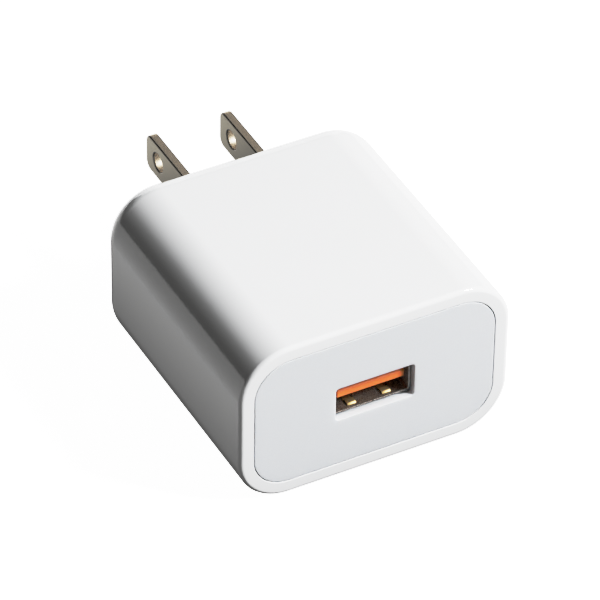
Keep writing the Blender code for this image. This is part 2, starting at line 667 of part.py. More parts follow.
def make_usb_shell(material):
    outer_width = SHELL_BORE_WIDTH + 2 * SHELL_WALL
    outer_height = SHELL_BORE_HEIGHT + 2 * SHELL_WALL
    end = SHELL_FRONT + SHELL_LENGTH
    outer = rounded_rectangle(outer_width, outer_height, SHELL_CORNER, (0.0, MIDDLE), 3)
    shell = prism("usb_shell", outer, "Y", SHELL_FRONT, end, material)
    for side in (-1, 1):
        x = sorted((side * outer_width / 2, side * (outer_width / 2 - SHELL_WALL)))
        y = (FRONT + LEG_SETBACK, FRONT + LEG_SETBACK + LEG_WIDTH)
        add(shell, block(f"shell_leg_{side}", x, y, (SHELL_BOTTOM - LEG_REACH, MIDDLE)))
    bore = rounded_rectangle(SHELL_BORE_WIDTH, SHELL_BORE_HEIGHT, SHELL_CORNER / 2, (0.0, MIDDLE), 3)
    cut(shell, prism("shell_bore", bore, "Y", SHELL_FRONT - SHELL_WALL, end + SHELL_WALL))
    half = LATCH_WIDTH / 2 + FITTED_GAP
    for side in (-1, 1):
        x = (side * LATCH_PLACE - half, side * LATCH_PLACE + half)
        y = (latch_tip() - FITTED_GAP, latch_tip() + LATCH_LENGTH + FITTED_GAP)
        z = (SHELL_BOTTOM - SHELL_WALL, SHELL_BOTTOM + 2 * SHELL_WALL)
        cut(shell, block(f"latch_window_{side}", x, y, z))
    return shell


def latch_tip():
    return SHELL_FRONT + LATCH_SETBACK


def make_usb_latch(name, side, material):
    """A spring tab in the floor of the shell, with a raised crest that grips the plug."""
    tip, root = latch_tip(), latch_tip() + LATCH_LENGTH
    crest = SHELL_BOTTOM + LATCH_RISE
    line = [
        (tip, SHELL_BOTTOM + LATCH_RISE / 2),
        (tip + LATCH_LENGTH * 0.08, crest),
        (tip + LATCH_LENGTH * 0.22, crest),
        (tip + LATCH_LENGTH * 0.45, SHELL_BOTTOM),
        (root, SHELL_BOTTOM),
    ]
    x = (side * LATCH_PLACE - LATCH_WIDTH / 2, side * LATCH_PLACE + LATCH_WIDTH / 2)
    return prism(name, strip(line, SHELL_WALL), "X", *x, material)


def tongue_bottom():
    return MIDDLE - TONGUE_DROP


def insulator_front():
    return SHELL_FRONT + SHELL_LENGTH - INSULATOR_LENGTH


def make_usb_tongue(material):
    """The insulator: a block that fills the back of the shell, with the tongue in front of it."""
    half_width = SHELL_BORE_WIDTH / 2 - FITTED_GAP
    half_height = SHELL_BORE_HEIGHT / 2 - FITTED_GAP
    y = (insulator_front(), SHELL_FRONT + SHELL_LENGTH)
    z = (MIDDLE - half_height, MIDDLE + half_height)
    insulator = block("usb_tongue", (-half_width, half_width), y, z, material)
    front = SHELL_FRONT + TONGUE_SETBACK
    bottom = tongue_bottom()
    top = bottom + TONGUE_THICKNESS
    back = insulator_front() + TONGUE_THICKNESS
    side_view = [
        (back, bottom),
        (front + TONGUE_LOW_CHAMFER, bottom),
        (front, bottom + TONGUE_LOW_CHAMFER),
        (front, top - TONGUE_TOP_CHAMFER),
        (front + TONGUE_TOP_CHAMFER, top),
        (back, top),
    ]
    add(insulator, prism("tongue_bar", side_view, "X", -TONGUE_WIDTH / 2, TONGUE_WIDTH / 2))
    for i, place in enumerate(CONTACT_PLACES):
        half = CONTACT_WIDTH / 2 + FITTED_GAP
        groove_y = (SHELL_FRONT + CONTACT_TIP_SETBACK - TOUCH_GAP, contact_root() + TOUCH_GAP)
        groove_z = (bottom - TONGUE_THICKNESS, bottom + GROOVE_DEPTH)
        cut(insulator, block(f"contact_groove_{i + 1}", (place - half, place + half), groove_y, groove_z))
        tail = (place - half, place + half)
        tail_y = (contact_root() + 2 * TOUCH_GAP, y[1] + SHELL_WALL)
        tail_z = (bottom - TOUCH_GAP, bottom + 2 * CONTACT_THICKNESS + TOUCH_GAP)
        cut(insulator, block(f"tail_groove_{i + 1}", tail, tail_y, tail_z))
    return insulator


def contact_root():
    return insulator_front() + INSULATOR_LENGTH / 4


def make_usb_contact(name, place, material):
    """A spring beam under the tongue: it bows down to its crest and turns up at the tip."""
    tip = SHELL_FRONT + CONTACT_TIP_SETBACK
    root = contact_root()
    low = tongue_bottom() - CONTACT_SAG
    high = tongue_bottom() + CONTACT_THICKNESS / 2
    length = root - tip
    line = [
        (tip, high - CONTACT_THICKNESS),
        (tip + length * 0.10, low + CONTACT_SAG * 0.25),
        (tip + length * 0.17, low),
        (tip + length * 0.24, low + CONTACT_SAG * 0.15),
        (tip + length * 0.85, high),
        (root, high),
    ]
    half = CONTACT_WIDTH / 2
    return prism(name, strip(line, CONTACT_THICKNESS), "X", place - half, place + half, material)


def tails_end():
    return SHELL_FRONT + SHELL_LENGTH + TOUCH_GAP + 2 * CONTACT_THICKNESS


def make_usb_tail(name, place, material):
    """The fixed end of a contact: out of the back of the insulator and down through the board."""
    start = contact_root() + 3 * TOUCH_GAP
    end = tails_end() - CONTACT_THICKNESS
    level = tongue_bottom()
    half = CONTACT_WIDTH / 2 - FITTED_GAP
    outline = [
        (start, level),
        (end, level),
        (end, BOARD_BOTTOM - TAIL_REACH / 2),
        (end + CONTACT_THICKNESS, BOARD_BOTTOM - TAIL_REACH / 2),
        (end + CONTACT_THICKNESS, level + CONTACT_THICKNESS),
        (start, level + CONTACT_THICKNESS),
    ]
    return prism(name, outline, "X", place - half, place + half, material)


# ---------------------------------------------------------------- board


def make_board(material):
    y = (BOARD_FRONT, BOARD_BACK)
    board = block("main_board", (-BOARD_SIDE, BOARD_SIDE), y, (BOARD_BOTTOM, BOARD_TOP), material)
    through = (BOARD_BOTTOM - BOARD_THICKNESS, BOARD_TOP + BOARD_THICKNESS)
    for side in (-1, 1):
        leg = SHELL_BORE_WIDTH / 2 + SHELL_WALL / 2
        x = (side * leg - SHELL_WALL, side * leg + SHELL_WALL)
        leg_y = (FRONT + LEG_SETBACK - TOUCH_GAP, FRONT + LEG_SETBACK + LEG_WIDTH + TOUCH_GAP)
        cut(board, block(f"leg_slot_{side}", x, leg_y, through))
        spring = MAINS_SPRING_SIDE + MAINS_SPRING_THICKNESS / 2
        reach = MAINS_SPRING_THICKNESS / 2 + FITTED_GAP
        spring_x = (side * spring - reach, side * spring + reach)
        foot = BOARD_BACK - MAINS_SPRING_WIDTH
        spring_y = (foot - MAINS_SPRING_WIDTH, foot + MAINS_SPRING_WIDTH / 2)
        cut(board, block(f"spring_slot_{side}", spring_x, spring_y, through))
    tail_y = SHELL_FRONT + SHELL_LENGTH + TOUCH_GAP + 1.5 * CONTACT_THICKNESS
    for i, place in enumerate(CONTACT_PLACES):
        hole = circle(CONTACT_WIDTH / 2 + FITTED_GAP, (place, tail_y), PLAIN_SIDES)
        cut(board, prism(f"tail_hole_{i + 1}", hole, "Z", *through))
    return board


def make_insulating_sheet(material):
    y = (BOARD_FRONT, POCKET_FRONT - TOUCH_GAP)
    z = (SHEET_TOP - SHEET_THICKNESS, SHEET_TOP)
    return block("insulating_sheet", (-SHEET_WIDTH / 2, SHEET_WIDTH / 2), y, z, material)


def transformer_middle():
    """(y, z) of the middle of the transformer, just in front of the bridge."""
    y = BRIDGE_FRONT - CORE_LENGTH / 2 - TAPE_THICKNESS - 4 * TOUCH_GAP
    return y, BOARD_TOP + TOUCH_GAP + TRANSFORMER_HEIGHT / 2


def make_core_half(name, direction, material):
    """One E-shaped ferrite half, its legs pointing to the middle."""
    y, z = transformer_middle()
    outer, inner = y + direction * CORE_LENGTH / 2, y + direction * TOUCH_GAP / 2
    plate_end = outer - direction * CORE_PLATE
    half, leg, middle = CORE_WIDTH / 2, CORE_OUTER_LEG, CORE_MIDDLE_LEG / 2
    outline = [
        (-half, outer), (half, outer), (half, inner), (half - leg, inner), (half - leg, plate_end),
        (middle, plate_end), (middle, inner), (-middle, inner), (-middle, plate_end),
        (-half + leg, plate_end), (-half + leg, inner), (-half, inner),
    ]
    return prism(name, outline, "Z", z - CORE_THICKNESS / 2, z + CORE_THICKNESS / 2, material)


def bobbin_tube():
    """Half width, half height and half length of the bobbin's tube."""
    half_width = CORE_MIDDLE_LEG / 2 + FITTED_GAP + BOBBIN_WALL
    half_height = CORE_THICKNESS / 2 + FITTED_GAP + BOBBIN_WALL
    half_length = CORE_LENGTH / 2 - CORE_PLATE - FITTED_GAP
    return half_width, half_height, half_length


def winding_reach():
    """How far the flanges reach sideways: up to the outer legs of the core."""
    return CORE_WIDTH / 2 - CORE_OUTER_LEG - TOUCH_GAP


def make_bobbin(material):
    y, z = transformer_middle()
    half_width, half_height, half_length = bobbin_tube()
    side, up = winding_reach(), TRANSFORMER_HEIGHT / 2
    bobbin = block(
        "transformer_bobbin",
        (-half_width, half_width),
        (y - half_length, y + half_length),
        (z - half_height, z + half_height),
        material,
    )
    for direction in (-1, 1):
        flange_y = sorted((y + direction * half_length, y + direction * (half_length - FLANGE_THICKNESS)))
        add(bobbin, block(f"flange_{direction}", (-side, side), flange_y, (z - up, z + up)))
        foot_start = half_length - FLANGE_THICKNESS / 2
        foot_y = sorted((y + direction * foot_start, y + direction * CORE_LENGTH / 2))
        foot_top = z - CORE_THICKNESS / 2 - TOUCH_GAP
        rail_x = (-CORE_WIDTH / 2, CORE_WIDTH / 2)
        add(bobbin, block(f"pin_rail_{direction}", rail_x, foot_y, (z - up, foot_top)))
    leg_hole = CORE_MIDDLE_LEG / 2 + FITTED_GAP
    leg_up = CORE_THICKNESS / 2 + FITTED_GAP
    through = (y - CORE_LENGTH, y + CORE_LENGTH)
    cut(bobbin, block("leg_hole", (-leg_hole, leg_hole), through, (z - leg_up, z + leg_up)))
    return bobbin


def make_winding(material):
    """The copper coil under its yellow tape, between the flanges."""
    y, z = transformer_middle()
    half_width, half_height, half_length = bobbin_tube()
    side, up = winding_reach() - FITTED_GAP, TRANSFORMER_HEIGHT / 2 - 2 * TOUCH_GAP
    reach = half_length - FLANGE_THICKNESS - FITTED_GAP
    outer = rounded_rectangle(2 * side, 2 * up, side / 3, (0.0, z), 4)
    winding = prism("transformer_winding", outer, "Y", y - reach, y + reach, material)
    hole_x, hole_z = half_width + FITTED_GAP, half_height + FITTED_GAP
    through = (y - CORE_LENGTH, y + CORE_LENGTH)
    cut(winding, block("winding_hole", (-hole_x, hole_x), through, (z - hole_z, z + hole_z)))
    return winding


def make_core_tape(material):
    """The band of tape that holds the two core halves together."""
    y, z = transformer_middle()
    inner_x, inner_y = CORE_WIDTH / 2 + FITTED_GAP, CORE_LENGTH / 2 + FITTED_GAP
    outer_x, outer_y = inner_x + TAPE_THICKNESS, inner_y + TAPE_THICKNESS
    half = CORE_THICKNESS / 2 - TOUCH_GAP
    outer = ((-outer_x, outer_x), (y - outer_y, y + outer_y), (z - half, z + half))
    inner = ((-inner_x, inner_x), (y - inner_y, y + inner_y), (z - 2 * half, z + 2 * half))
    tape = block("transformer_tape", *outer, material)
    cut(tape, block("tape_hole", *inner))
    return tape


def make_capacitor(name, place, radius, height, material):
    """A round can with its crimped groove and a rolled top edge, standing on the board."""
    bottom = BOARD_TOP + TOUCH_GAP
    groove = radius * 0.92
    profile = [
        (radius * 0.94, bottom),
        (radius, bottom + 0.0004),
        (radius, bottom + 0.0012),
        (groove, bottom + 0.0016),
        (radius, bottom + 0.0020),
        (radius, bottom + height - 0.0005),
        (radius * 0.92, bottom + height),
        (radius * 0.80, bottom + height),
        (radius * 0.78, bottom + height - 0.0003),
    ]
    return turned(name, profile, place, FINE_SIDES, material)


def add_leads(piece, places, top):
    for i, (x, y) in enumerate(places):
        lead = circle(LEAD_RADIUS, (x, y), 8)
        add(piece, prism(f"{piece.name}_lead_{i + 1}", lead, "Z", BOARD_TOP + TOUCH_GAP, top))


def make_disc(name, place, radius, thickness, lift, material):
    """A dipped disc that stands on two leads."""
    x, y = place
    middle = BOARD_TOP + TOUCH_GAP + lift + radius
    outline = circle(radius, (x, middle), FINE_SIDES)
    disc = prism(name, outline, "Y", y - thickness / 2, y + thickness / 2, material)
    soften(disc, thickness / 4)
    add_leads(disc, ((x - radius * 0.6, y), (x + radius * 0.6, y)), middle)
    return disc


def make_inductor(place, material):
    """A drum core: two flanges with the wound waist between them."""
    bottom = BOARD_TOP + TOUCH_GAP
    profile = [
        (0.0034, bottom),
        (0.0034, bottom + 0.0010),
        (0.0030, bottom + 0.0013),
        (0.0030, bottom + 0.0067),
        (0.0034, bottom + 0.0070),
        (0.0034, bottom + 0.0080),
    ]
    return turned("input_inductor", profile, place, FINE_SIDES, material)


def make_fuse(place, material):
    """A fusible resistor that lies on the board, its ends bent down."""
    x, y = place
    radius, length = 0.0015, 0.0066
    level = BOARD_TOP + TOUCH_GAP + radius
    outline = circle(radius, (y, level), PLAIN_SIDES)
    fuse = prism("input_fuse", outline, "X", x - length / 2, x + length / 2, material)
    soften(fuse, radius / 3)
    for direction in (-1, 1):
        end = x + direction * (length / 2 + LEAD_RADIUS * 2)
        lead_x = sorted((x + direction * (length / 2 - LEAD_RADIUS * 2), end + direction * LEAD_RADIUS))
        lead = [(y - LEAD_RADIUS, level - LEAD_RADIUS), (y + LEAD_RADIUS, level - LEAD_RADIUS)]
        lead += [(y + LEAD_RADIUS, level + LEAD_RADIUS), (y - LEAD_RADIUS, level + LEAD_RADIUS)]
        add(fuse, prism(f"fuse_lead_{direction}", lead, "X", *lead_x))
    return fuse


def make_chip(name, place, size, leads, material):
    """A moulded package under the board. leads is (count per side, width, reach), or None for none."""
    x, y = place
    length, width, height = size
    top = BOARD_BOTTOM - TOUCH_GAP
    box_x, box_y = (x - length / 2, x + length / 2), (y - width / 2, y + width / 2)
    chip = block(name, box_x, box_y, (top - height, top), material)
    if leads:
        count, lead_width, reach = leads
        pitch = length / count
        for i in range(count):
            middle = x - length / 2 + pitch * (i + 0.5)
            lead_x = (middle - lead_width / 2, middle + lead_width / 2)
            lead_y = (y - width / 2 - reach, y + width / 2 + reach)
            add(chip, block(f"{name}_lead_{i + 1}", lead_x, lead_y, (top - height * 0.3, top - height * 0.1)))
    return chip


def make_thermal_pad(place, chip_height, material):
    """A soft pad between the output diode and the sheet on the floor of the case."""
    x, y = place
    top = BOARD_BOTTOM - TOUCH_GAP - chip_height - TOUCH_GAP
    half_x, half_y = PAD_SIZE[0] / 2, PAD_SIZE[1] / 2
    z = (SHEET_TOP + TOUCH_GAP, top)
    return block("thermal_pad", (x - half_x, x + half_x), (y - half_y, y + half_y), z, material)


# ---------------------------------------------------------------- assembly


def build_case():
    white = make_material("glossy_white_plastic", (0.80, 0.81, 0.82), 0.18)
    satin = make_material("satin_grey_plastic", (0.66, 0.68, 0.71), 0.42)
    make_case(white)
    make_front_cover(satin)


def build_prongs():
    nickel = make_material("nickel_plated_brass", (0.42, 0.40, 0.35), 0.28, 1.0)
    moulding = make_material("moulded_white_plastic", (0.74, 0.75, 0.76), 0.35)
    spring_steel = make_material("spring_steel", (0.50, 0.50, 0.52), 0.30, 1.0)
    copper_alloy = make_material("tinned_copper_alloy", (0.62, 0.50, 0.36), 0.35, 1.0)
    zinc = make_material("zinc_plated_steel", (0.60, 0.60, 0.62), 0.30, 1.0)

    fold_axis = make_joint_axis("fold_axis", (0.0, PIVOT_Y, PIVOT_Z))
    moving = [make_prong_carrier(moulding)]
    for side, name in ((-1, "left"), (1, "right")):
        moving.append(make_prong(f"prong_{name}", side, nickel))
        make_mains_spring(f"mains_spring_{name}", side, copper_alloy)
        make_retainer_screw(f"retainer_screw_{name}", side, zinc)
    hang_on(fold_axis, *moving)
    make_retainer(moulding)
    make_detent_spring(spring_steel)


def build_usb_port():
    steel = make_material("plated_shell_steel", (0.56, 0.56, 0.56), 0.25, 1.0)
    orange = make_material("orange_insulator", (0.78, 0.27, 0.06), 0.45)
    gold = make_material("gold_plated_bronze", (0.83, 0.60, 0.27), 0.25, 1.0)

    make_usb_shell(steel)
    make_usb_tongue(orange)
    contact_axis = make_joint_axis("contact_axis", (0.0, contact_root(), tongue_bottom() + CONTACT_THICKNESS))
    for i, place in enumerate(CONTACT_PLACES):
        hang_on(contact_axis, make_usb_contact(f"usb_contact_{i + 1}", place, gold))
        make_usb_tail(f"usb_tail_{i + 1}", place, gold)
    latch_axis = make_joint_axis("latch_axis", (0.0, latch_tip() + LATCH_LENGTH, SHELL_BOTTOM))
    for side, name in ((-1, "left"), (1, "right")):
        hang_on(latch_axis, make_usb_latch(f"usb_latch_{name}", side, gold))


def build_board():
    green = make_material("green_circuit_board", (0.05, 0.22, 0.10), 0.40)
    black = make_material("black_epoxy", (0.03, 0.03, 0.03), 0.50)
    ferrite = make_material("grey_ferrite", (0.10, 0.10, 0.11), 0.60)
    bobbin = make_material("black_bobbin_plastic", (0.04, 0.04, 0.05), 0.45)
    yellow = make_material("yellow_polyester_tape", (0.85, 0.62, 0.08), 0.35)
    sleeve = make_material("dark_blue_sleeve", (0.04, 0.07, 0.20), 0.30)
    can = make_material("drawn_aluminium_can", (0.72, 0.72, 0.74), 0.30, 1.0)
    blue = make_material("blue_disc_coating", (0.05, 0.16, 0.42), 0.45)
    dark_green = make_material("green_disc_coating", (0.06, 0.20, 0.09), 0.50)
    grey = make_material("grey_resistor_coating", (0.34, 0.36, 0.36), 0.55)
    ceramic = make_material("tan_chip_ceramic", (0.45, 0.34, 0.22), 0.45)
    fish_paper = make_material("white_polyester_sheet", (0.72, 0.72, 0.70), 0.55)
    silicone = make_material("blue_grey_silicone", (0.30, 0.38, 0.45), 0.70)

    make_board(green)
    make_insulating_sheet(fish_paper)
    make_core_half("transformer_core_front", -1, ferrite)
    make_core_half("transformer_core_rear", 1, ferrite)
    make_bobbin(bobbin)
    make_winding(yellow)
    make_core_tape(yellow)

    left = -(BOARD_SIDE - RAIL_WIDTH - BULK_RADIUS)
    rear = transformer_middle()[0] + CORE_LENGTH / 2 - BULK_RADIUS
    make_capacitor("bulk_capacitor_rear", (left, rear), BULK_RADIUS, BULK_HEIGHT, sleeve)
    middle = rear - 2 * BULK_RADIUS - 2 * TOUCH_GAP
    make_capacitor("bulk_capacitor_front", (left, middle), BULK_RADIUS, BULK_HEIGHT, sleeve)
    beside_port = SHELL_BORE_WIDTH / 2 + OUTPUT_RADIUS + 6 * TOUCH_GAP
    for side, name in ((-1, "left"), (1, "right")):
        place = (side * beside_port, BOARD_FRONT + OUTPUT_RADIUS + 2 * TOUCH_GAP)
        make_capacitor(f"output_capacitor_{name}", place, OUTPUT_RADIUS, OUTPUT_HEIGHT, can)

    right = -left
    front = transformer_middle()[0] - CORE_LENGTH / 2
    make_disc("safety_capacitor", (right, front + 0.0010), 0.0036, 0.0030, 0.0012, blue)
    make_inductor((right, front + 0.0066), ferrite)
    make_disc("inrush_thermistor", (right, front + 0.0118), 0.0034, 0.0024, 0.0012, dark_green)
    make_fuse((right, front + 0.0148), grey)

    centre = transformer_middle()[0]
    for name, x, beyond, size, leads in CHIPS:
        y = tails_end() + 1.5 * TOUCH_GAP + size[1] / 2 + leads[2] if beyond is None else centre + beyond
        make_chip(name, (x, y), size, leads, black)
        if name == "output_diode":
            make_thermal_pad((x, y), size[2], silicone)
    for i, x in enumerate(RESISTOR_PLACES):
        make_chip(f"chip_resistor_{i + 1}", (x, centre + RESISTOR_ROW), RESISTOR_SIZE, None, ceramic)


def main():
    clear_scene()
    build_case()
    build_prongs()
    build_usb_port()
    build_board()


main()
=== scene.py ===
# %% [markdown]
# # A USB wall charger in Blender
# The engineering model gives every piece its place. This notebook builds the pieces that show, smooth and
# with their real edges, round that fixed frame, and gives each of them the finish of its real material.

# %% Load the frame
import json
from math import cos, pi, radians, sin

import bmesh
import bpy
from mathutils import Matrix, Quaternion, Vector


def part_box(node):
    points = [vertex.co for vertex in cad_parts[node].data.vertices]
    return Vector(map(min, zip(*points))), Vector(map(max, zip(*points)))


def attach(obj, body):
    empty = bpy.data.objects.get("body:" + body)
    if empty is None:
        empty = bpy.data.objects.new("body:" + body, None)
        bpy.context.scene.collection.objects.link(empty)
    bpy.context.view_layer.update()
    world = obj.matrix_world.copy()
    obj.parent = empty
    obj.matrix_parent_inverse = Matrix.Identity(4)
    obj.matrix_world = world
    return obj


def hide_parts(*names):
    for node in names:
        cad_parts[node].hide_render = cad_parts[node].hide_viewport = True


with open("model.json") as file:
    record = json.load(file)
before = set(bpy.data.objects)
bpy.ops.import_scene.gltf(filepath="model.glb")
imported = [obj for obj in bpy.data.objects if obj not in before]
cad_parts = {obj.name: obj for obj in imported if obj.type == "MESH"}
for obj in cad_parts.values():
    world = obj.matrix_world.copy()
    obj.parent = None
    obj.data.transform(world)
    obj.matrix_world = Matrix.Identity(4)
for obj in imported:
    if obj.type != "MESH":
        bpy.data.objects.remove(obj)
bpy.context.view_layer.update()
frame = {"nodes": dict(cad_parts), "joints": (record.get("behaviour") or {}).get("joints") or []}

MM = 0.001
nodes = frame["nodes"]

# %% [markdown]
# ## Camera
# A small product looks right from far away through a long lens, because its upright edges then stay nearly
# parallel. The camera looks down on the top, the port face and the left side. It is rolled a little about its
# own axis, like a camera that is held almost level, and not quite.

# %% Camera
CAMERA_AZIMUTH = radians(-28.45)
CAMERA_ELEVATION = radians(39.49)
CAMERA_ROLL = radians(0.97)
CAMERA_DISTANCE = 0.761
CAMERA_LENS = 304.06
SENSOR_WIDTH = 36  # mm, like the lens
AIM = Vector((-0.00024, -0.00729, 0.01450))

towards_camera = Vector((
    sin(CAMERA_AZIMUTH) * cos(CAMERA_ELEVATION),
    -cos(CAMERA_AZIMUTH) * cos(CAMERA_ELEVATION),
    sin(CAMERA_ELEVATION),
))
bpy.ops.object.select_all(action="DESELECT")
bpy.ops.object.camera_add(location=AIM + towards_camera * CAMERA_DISTANCE)
camera = bpy.context.object
level = (-towards_camera).to_track_quat("-Z", "Y")
camera.rotation_euler = (level @ Quaternion((0, 0, 1), CAMERA_ROLL)).to_euler()
camera.data.lens = CAMERA_LENS
camera.data.sensor_width = SENSOR_WIDTH
camera.data.clip_start = 10 * MM
camera.data.dof.use_dof = False
bpy.context.scene.camera = camera
print("camera at", [round(v, 3) for v in camera.location])

# %% [markdown]
# ## How nodes and colours are written
# The surroundings and every material are trees of linked nodes. They could be drawn by hand in the node
# editor. In code, one function that adds a node with its settings and its links keeps each recipe readable as
# a list of steps. Colours are given as sRGB hex values, but the renderer counts light, so a second
# function turns them linear.

# %% Node and colour helpers
def colour(code):
    """A linear RGBA colour from an sRGB hex value."""
    parts = [int(code[i:i + 2], 16) / 255 for i in (1, 3, 5)]
    return (*[p / 12.92 if p <= 0.04045 else ((p + 0.055) / 1.055) ** 2.4 for p in parts], 1.0)


def add_node(tree, kind, inputs=None, **settings):
    """Add one node. An input takes a plain value, or the output of another node as a link."""
    node = tree.nodes.new(kind)
    for name, value in settings.items():
        setattr(node, name, value)
    for name, value in (inputs or {}).items():
        if isinstance(value, bpy.types.NodeSocket):
            tree.links.new(value, node.inputs[name])
        else:
            node.inputs[name].default_value = value
    return node


print("white counts as", colour("#FFFFFF"), "and middle grey as", [round(v, 3) for v in colour("#808080")])

# %% [markdown]
# ## Light
# White plastic shows its shape only through shade. One softbox, high in front and to the right, lights the
# top, the port face and the right side. A weak one low in front opens the port, and a wide weak one behind
# shows the back and draws the far edge of the top against the pale ground. The left side gets no
# light of its own: it shows the reflection of the pale floor, and the rounded corner above it shows the dark
# of the studio. The world is therefore dark to the object, and pale only where the camera looks past the
# floor.

# %% Lights and surroundings
SOFTBOX_DISTANCE = 1.0
SOFTBOXES = {
    # name: (direction from the charger, side in metres, power in watts)
    "key_softbox": ((0.88, -0.78, 1.00), 0.22, 21.6),
    "front_fill": ((0.15, -1.00, 0.12), 0.30, 0.25),
    "back_fill": ((0.30, 1.00, 0.10), 0.70, 4.5),
}
for name, (direction, size, power) in SOFTBOXES.items():
    place = AIM + Vector(direction).normalized() * SOFTBOX_DISTANCE
    facing = (AIM - place).to_track_quat("-Z", "Y").to_euler()
    bpy.ops.object.light_add(type="AREA", location=place, rotation=facing)
    light = bpy.context.object
    light.name = name
    light.data.shape = "SQUARE"
    light.data.size = size
    light.data.energy = power
    light.visible_camera = False

STUDIO_DARK = (0.075, 0.074, 0.072, 1)
STUDIO_PALE = (3.0, 3.0, 3.0, 1)
world = bpy.data.worlds.new("studio")
bpy.context.scene.world = world
world.use_nodes = True
tree = world.node_tree
dark = tree.nodes["Background"]
dark.inputs["Color"].default_value = STUDIO_DARK
pale = add_node(tree, "ShaderNodeBackground", {"Color": STUDIO_PALE})
ray = add_node(tree, "ShaderNodeLightPath")
mix = add_node(tree, "ShaderNodeMixShader", {
    "Fac": ray.outputs["Is Camera Ray"], 1: dark.outputs["Background"], 2: pale.outputs["Background"]})
tree.links.new(mix.outputs["Shader"], tree.nodes["World Output"].inputs["Surface"])

# %% [markdown]
# ## Exposure
# Film bends its response: it deepens the shadows a little and rolls the highlights off, so that a white thing
# on a white ground keeps its edges. A ready-made look would do something like it, but a tone curve can be
# fitted to the tones that matter here. Each point pairs an amount of light with the amount that is shown.

# %% Tone curve
MOST_LIGHT = 2.8
TONES = (
    (0.08, 0.07), (0.235, 0.16), (0.39, 0.32), (0.54, 0.50), (0.68, 0.63), (0.955, 0.78), (1.18, 0.85),
    (1.5, 0.90), (1.9, 0.925), (2.4, 0.945), (2.7, 0.985))
view = bpy.context.scene.view_settings
view.view_transform = "Standard"
view.use_curve_mapping = True
view.curve_mapping.white_level = (MOST_LIGHT, MOST_LIGHT, MOST_LIGHT)
tone_curve = view.curve_mapping.curves[3]  # the one that bends all three colours alike
for light_in, light_out in TONES:
    tone_curve.points.new(light_in / MOST_LIGHT, light_out)
view.curve_mapping.update()
print("tone curve:", [tuple(round(v, 3) for v in point.location) for point in tone_curve.points])

# %% [markdown]
# ## How a surface is written
# A plain colour looks like a drawing, because a real surface is never quite even. A picture of the material
# could cover it, but a noise that is made by the renderer has no seams and stays sharp at any size. The same
# noise moves the shade, the gloss and the relief, and its grains have a real size.

# %% Material helpers
NOISE_SPAN = (0.3, 0.7)  # nearly all of a noise's values lie between these


def new_material(name, **shader_values):
    """A material with one Principled shader, whose constant values are set on its own sockets."""
    material = bpy.data.materials.new(name)
    material.use_nodes = True
    shader = material.node_tree.nodes["Principled BSDF"]
    for socket, value in shader_values.items():
        shader.inputs[socket.replace("_", " ")].default_value = value
    return material


def finish_surface(material, grain, shades, roughness, relief, stretch=(1, 1, 1)):
    """Break up a plain surface. A noise with grains of a real size moves its shade, its gloss and its relief.

    Every length is in millimetres. stretch below 1 on an axis draws the grain out along it, as rolling does.
    """
    tree = material.node_tree
    shader = tree.nodes["Principled BSDF"]
    place = add_node(tree, "ShaderNodeTexCoord").outputs["Object"]
    place = add_node(tree, "ShaderNodeMapping", {"Vector": place, "Scale": stretch}).outputs["Vector"]
    noise = add_node(
        tree, "ShaderNodeTexNoise", {"Vector": place, "Scale": 1 / (grain * MM), "Detail": 3.0})
    ramp = add_node(tree, "ShaderNodeValToRGB", {"Fac": noise.outputs["Fac"]})
    for element, position, shade in zip(ramp.color_ramp.elements, NOISE_SPAN, shades):
        element.position = position
        element.color = colour(shade)
    gloss = add_node(
        tree, "ShaderNodeMapRange",
        {"Value": noise.outputs["Fac"], "To Min": roughness[0], "To Max": roughness[1]})
    bump = add_node(
        tree, "ShaderNodeBump", {"Height": noise.outputs["Fac"], "Distance": relief * MM, "Strength": 1.0})
    tree.links.new(ramp.outputs["Color"], shader.inputs["Base Color"])
    tree.links.new(gloss.outputs["Result"], shader.inputs["Roughness"])
    tree.links.new(bump.outputs["Normal"], shader.inputs["Normal"])


# %% [markdown]
# ## Plastics that show
# The case is polycarbonate from a polished mould. It is nearly a mirror at a flat angle, with the faint slow
# waves that thin moulded walls take as they cool. The front cover comes from a spark-eroded mould, so it has
# a fine satin grain and reads a little cooler and darker than the case. A clear coat over a dull base would
# gleam too, but this plastic is the same all through, so one low roughness is truer.

# %% Case and cover plastics
white_plastic = new_material("polished_moulded_polycarbonate", IOR=1.50, Specular_IOR_Level=0.5)
finish_surface(white_plastic, grain=14, shades=("#EEEFF0", "#F0F1F2"), roughness=(0.08, 0.11), relief=0.006)

# A little light also travels through the plastic, so the walls of the port opening glow softly.
satin_plastic = new_material(
    "satin_moulded_polycarbonate", IOR=1.50, Specular_IOR_Level=0.4, Subsurface_Weight=0.8,
    Subsurface_Radius=(1.0, 0.95, 0.9), Subsurface_Scale=1.2 * MM)
# The real grain is about 0.05 mm. It is drawn three times as coarse, or it wouldn't show.
finish_surface(
    satin_plastic, grain=0.16, shades=("#D8DBDF", "#DCDFE2"), roughness=(0.42, 0.50), relief=0.0015)
print("plastics:", white_plastic.name, satin_plastic.name)

# %% [markdown]
# ## Metals that show
# The blades are brass strip, stamped, tumbled and nickel plated: a warm grey metal whose long faces keep
# fine rolling lines. The port's shell is bright plated steel, and its contacts and latches are gold plated.
# A metal shows hardly anything but its surroundings, so its roughness matters more than its colour.

# %% Blade, shell and contact metals
# A stamping's edge is half sheared and half torn, so it stays rough and lets the brass show through.
sheared_edge = new_material("nickel_plated_sheared_brass_edge", Metallic=1.0)
finish_surface(sheared_edge, grain=0.16, shades=("#9A9080", "#CFC5B4"), roughness=(0.50, 0.66), relief=0.0050)

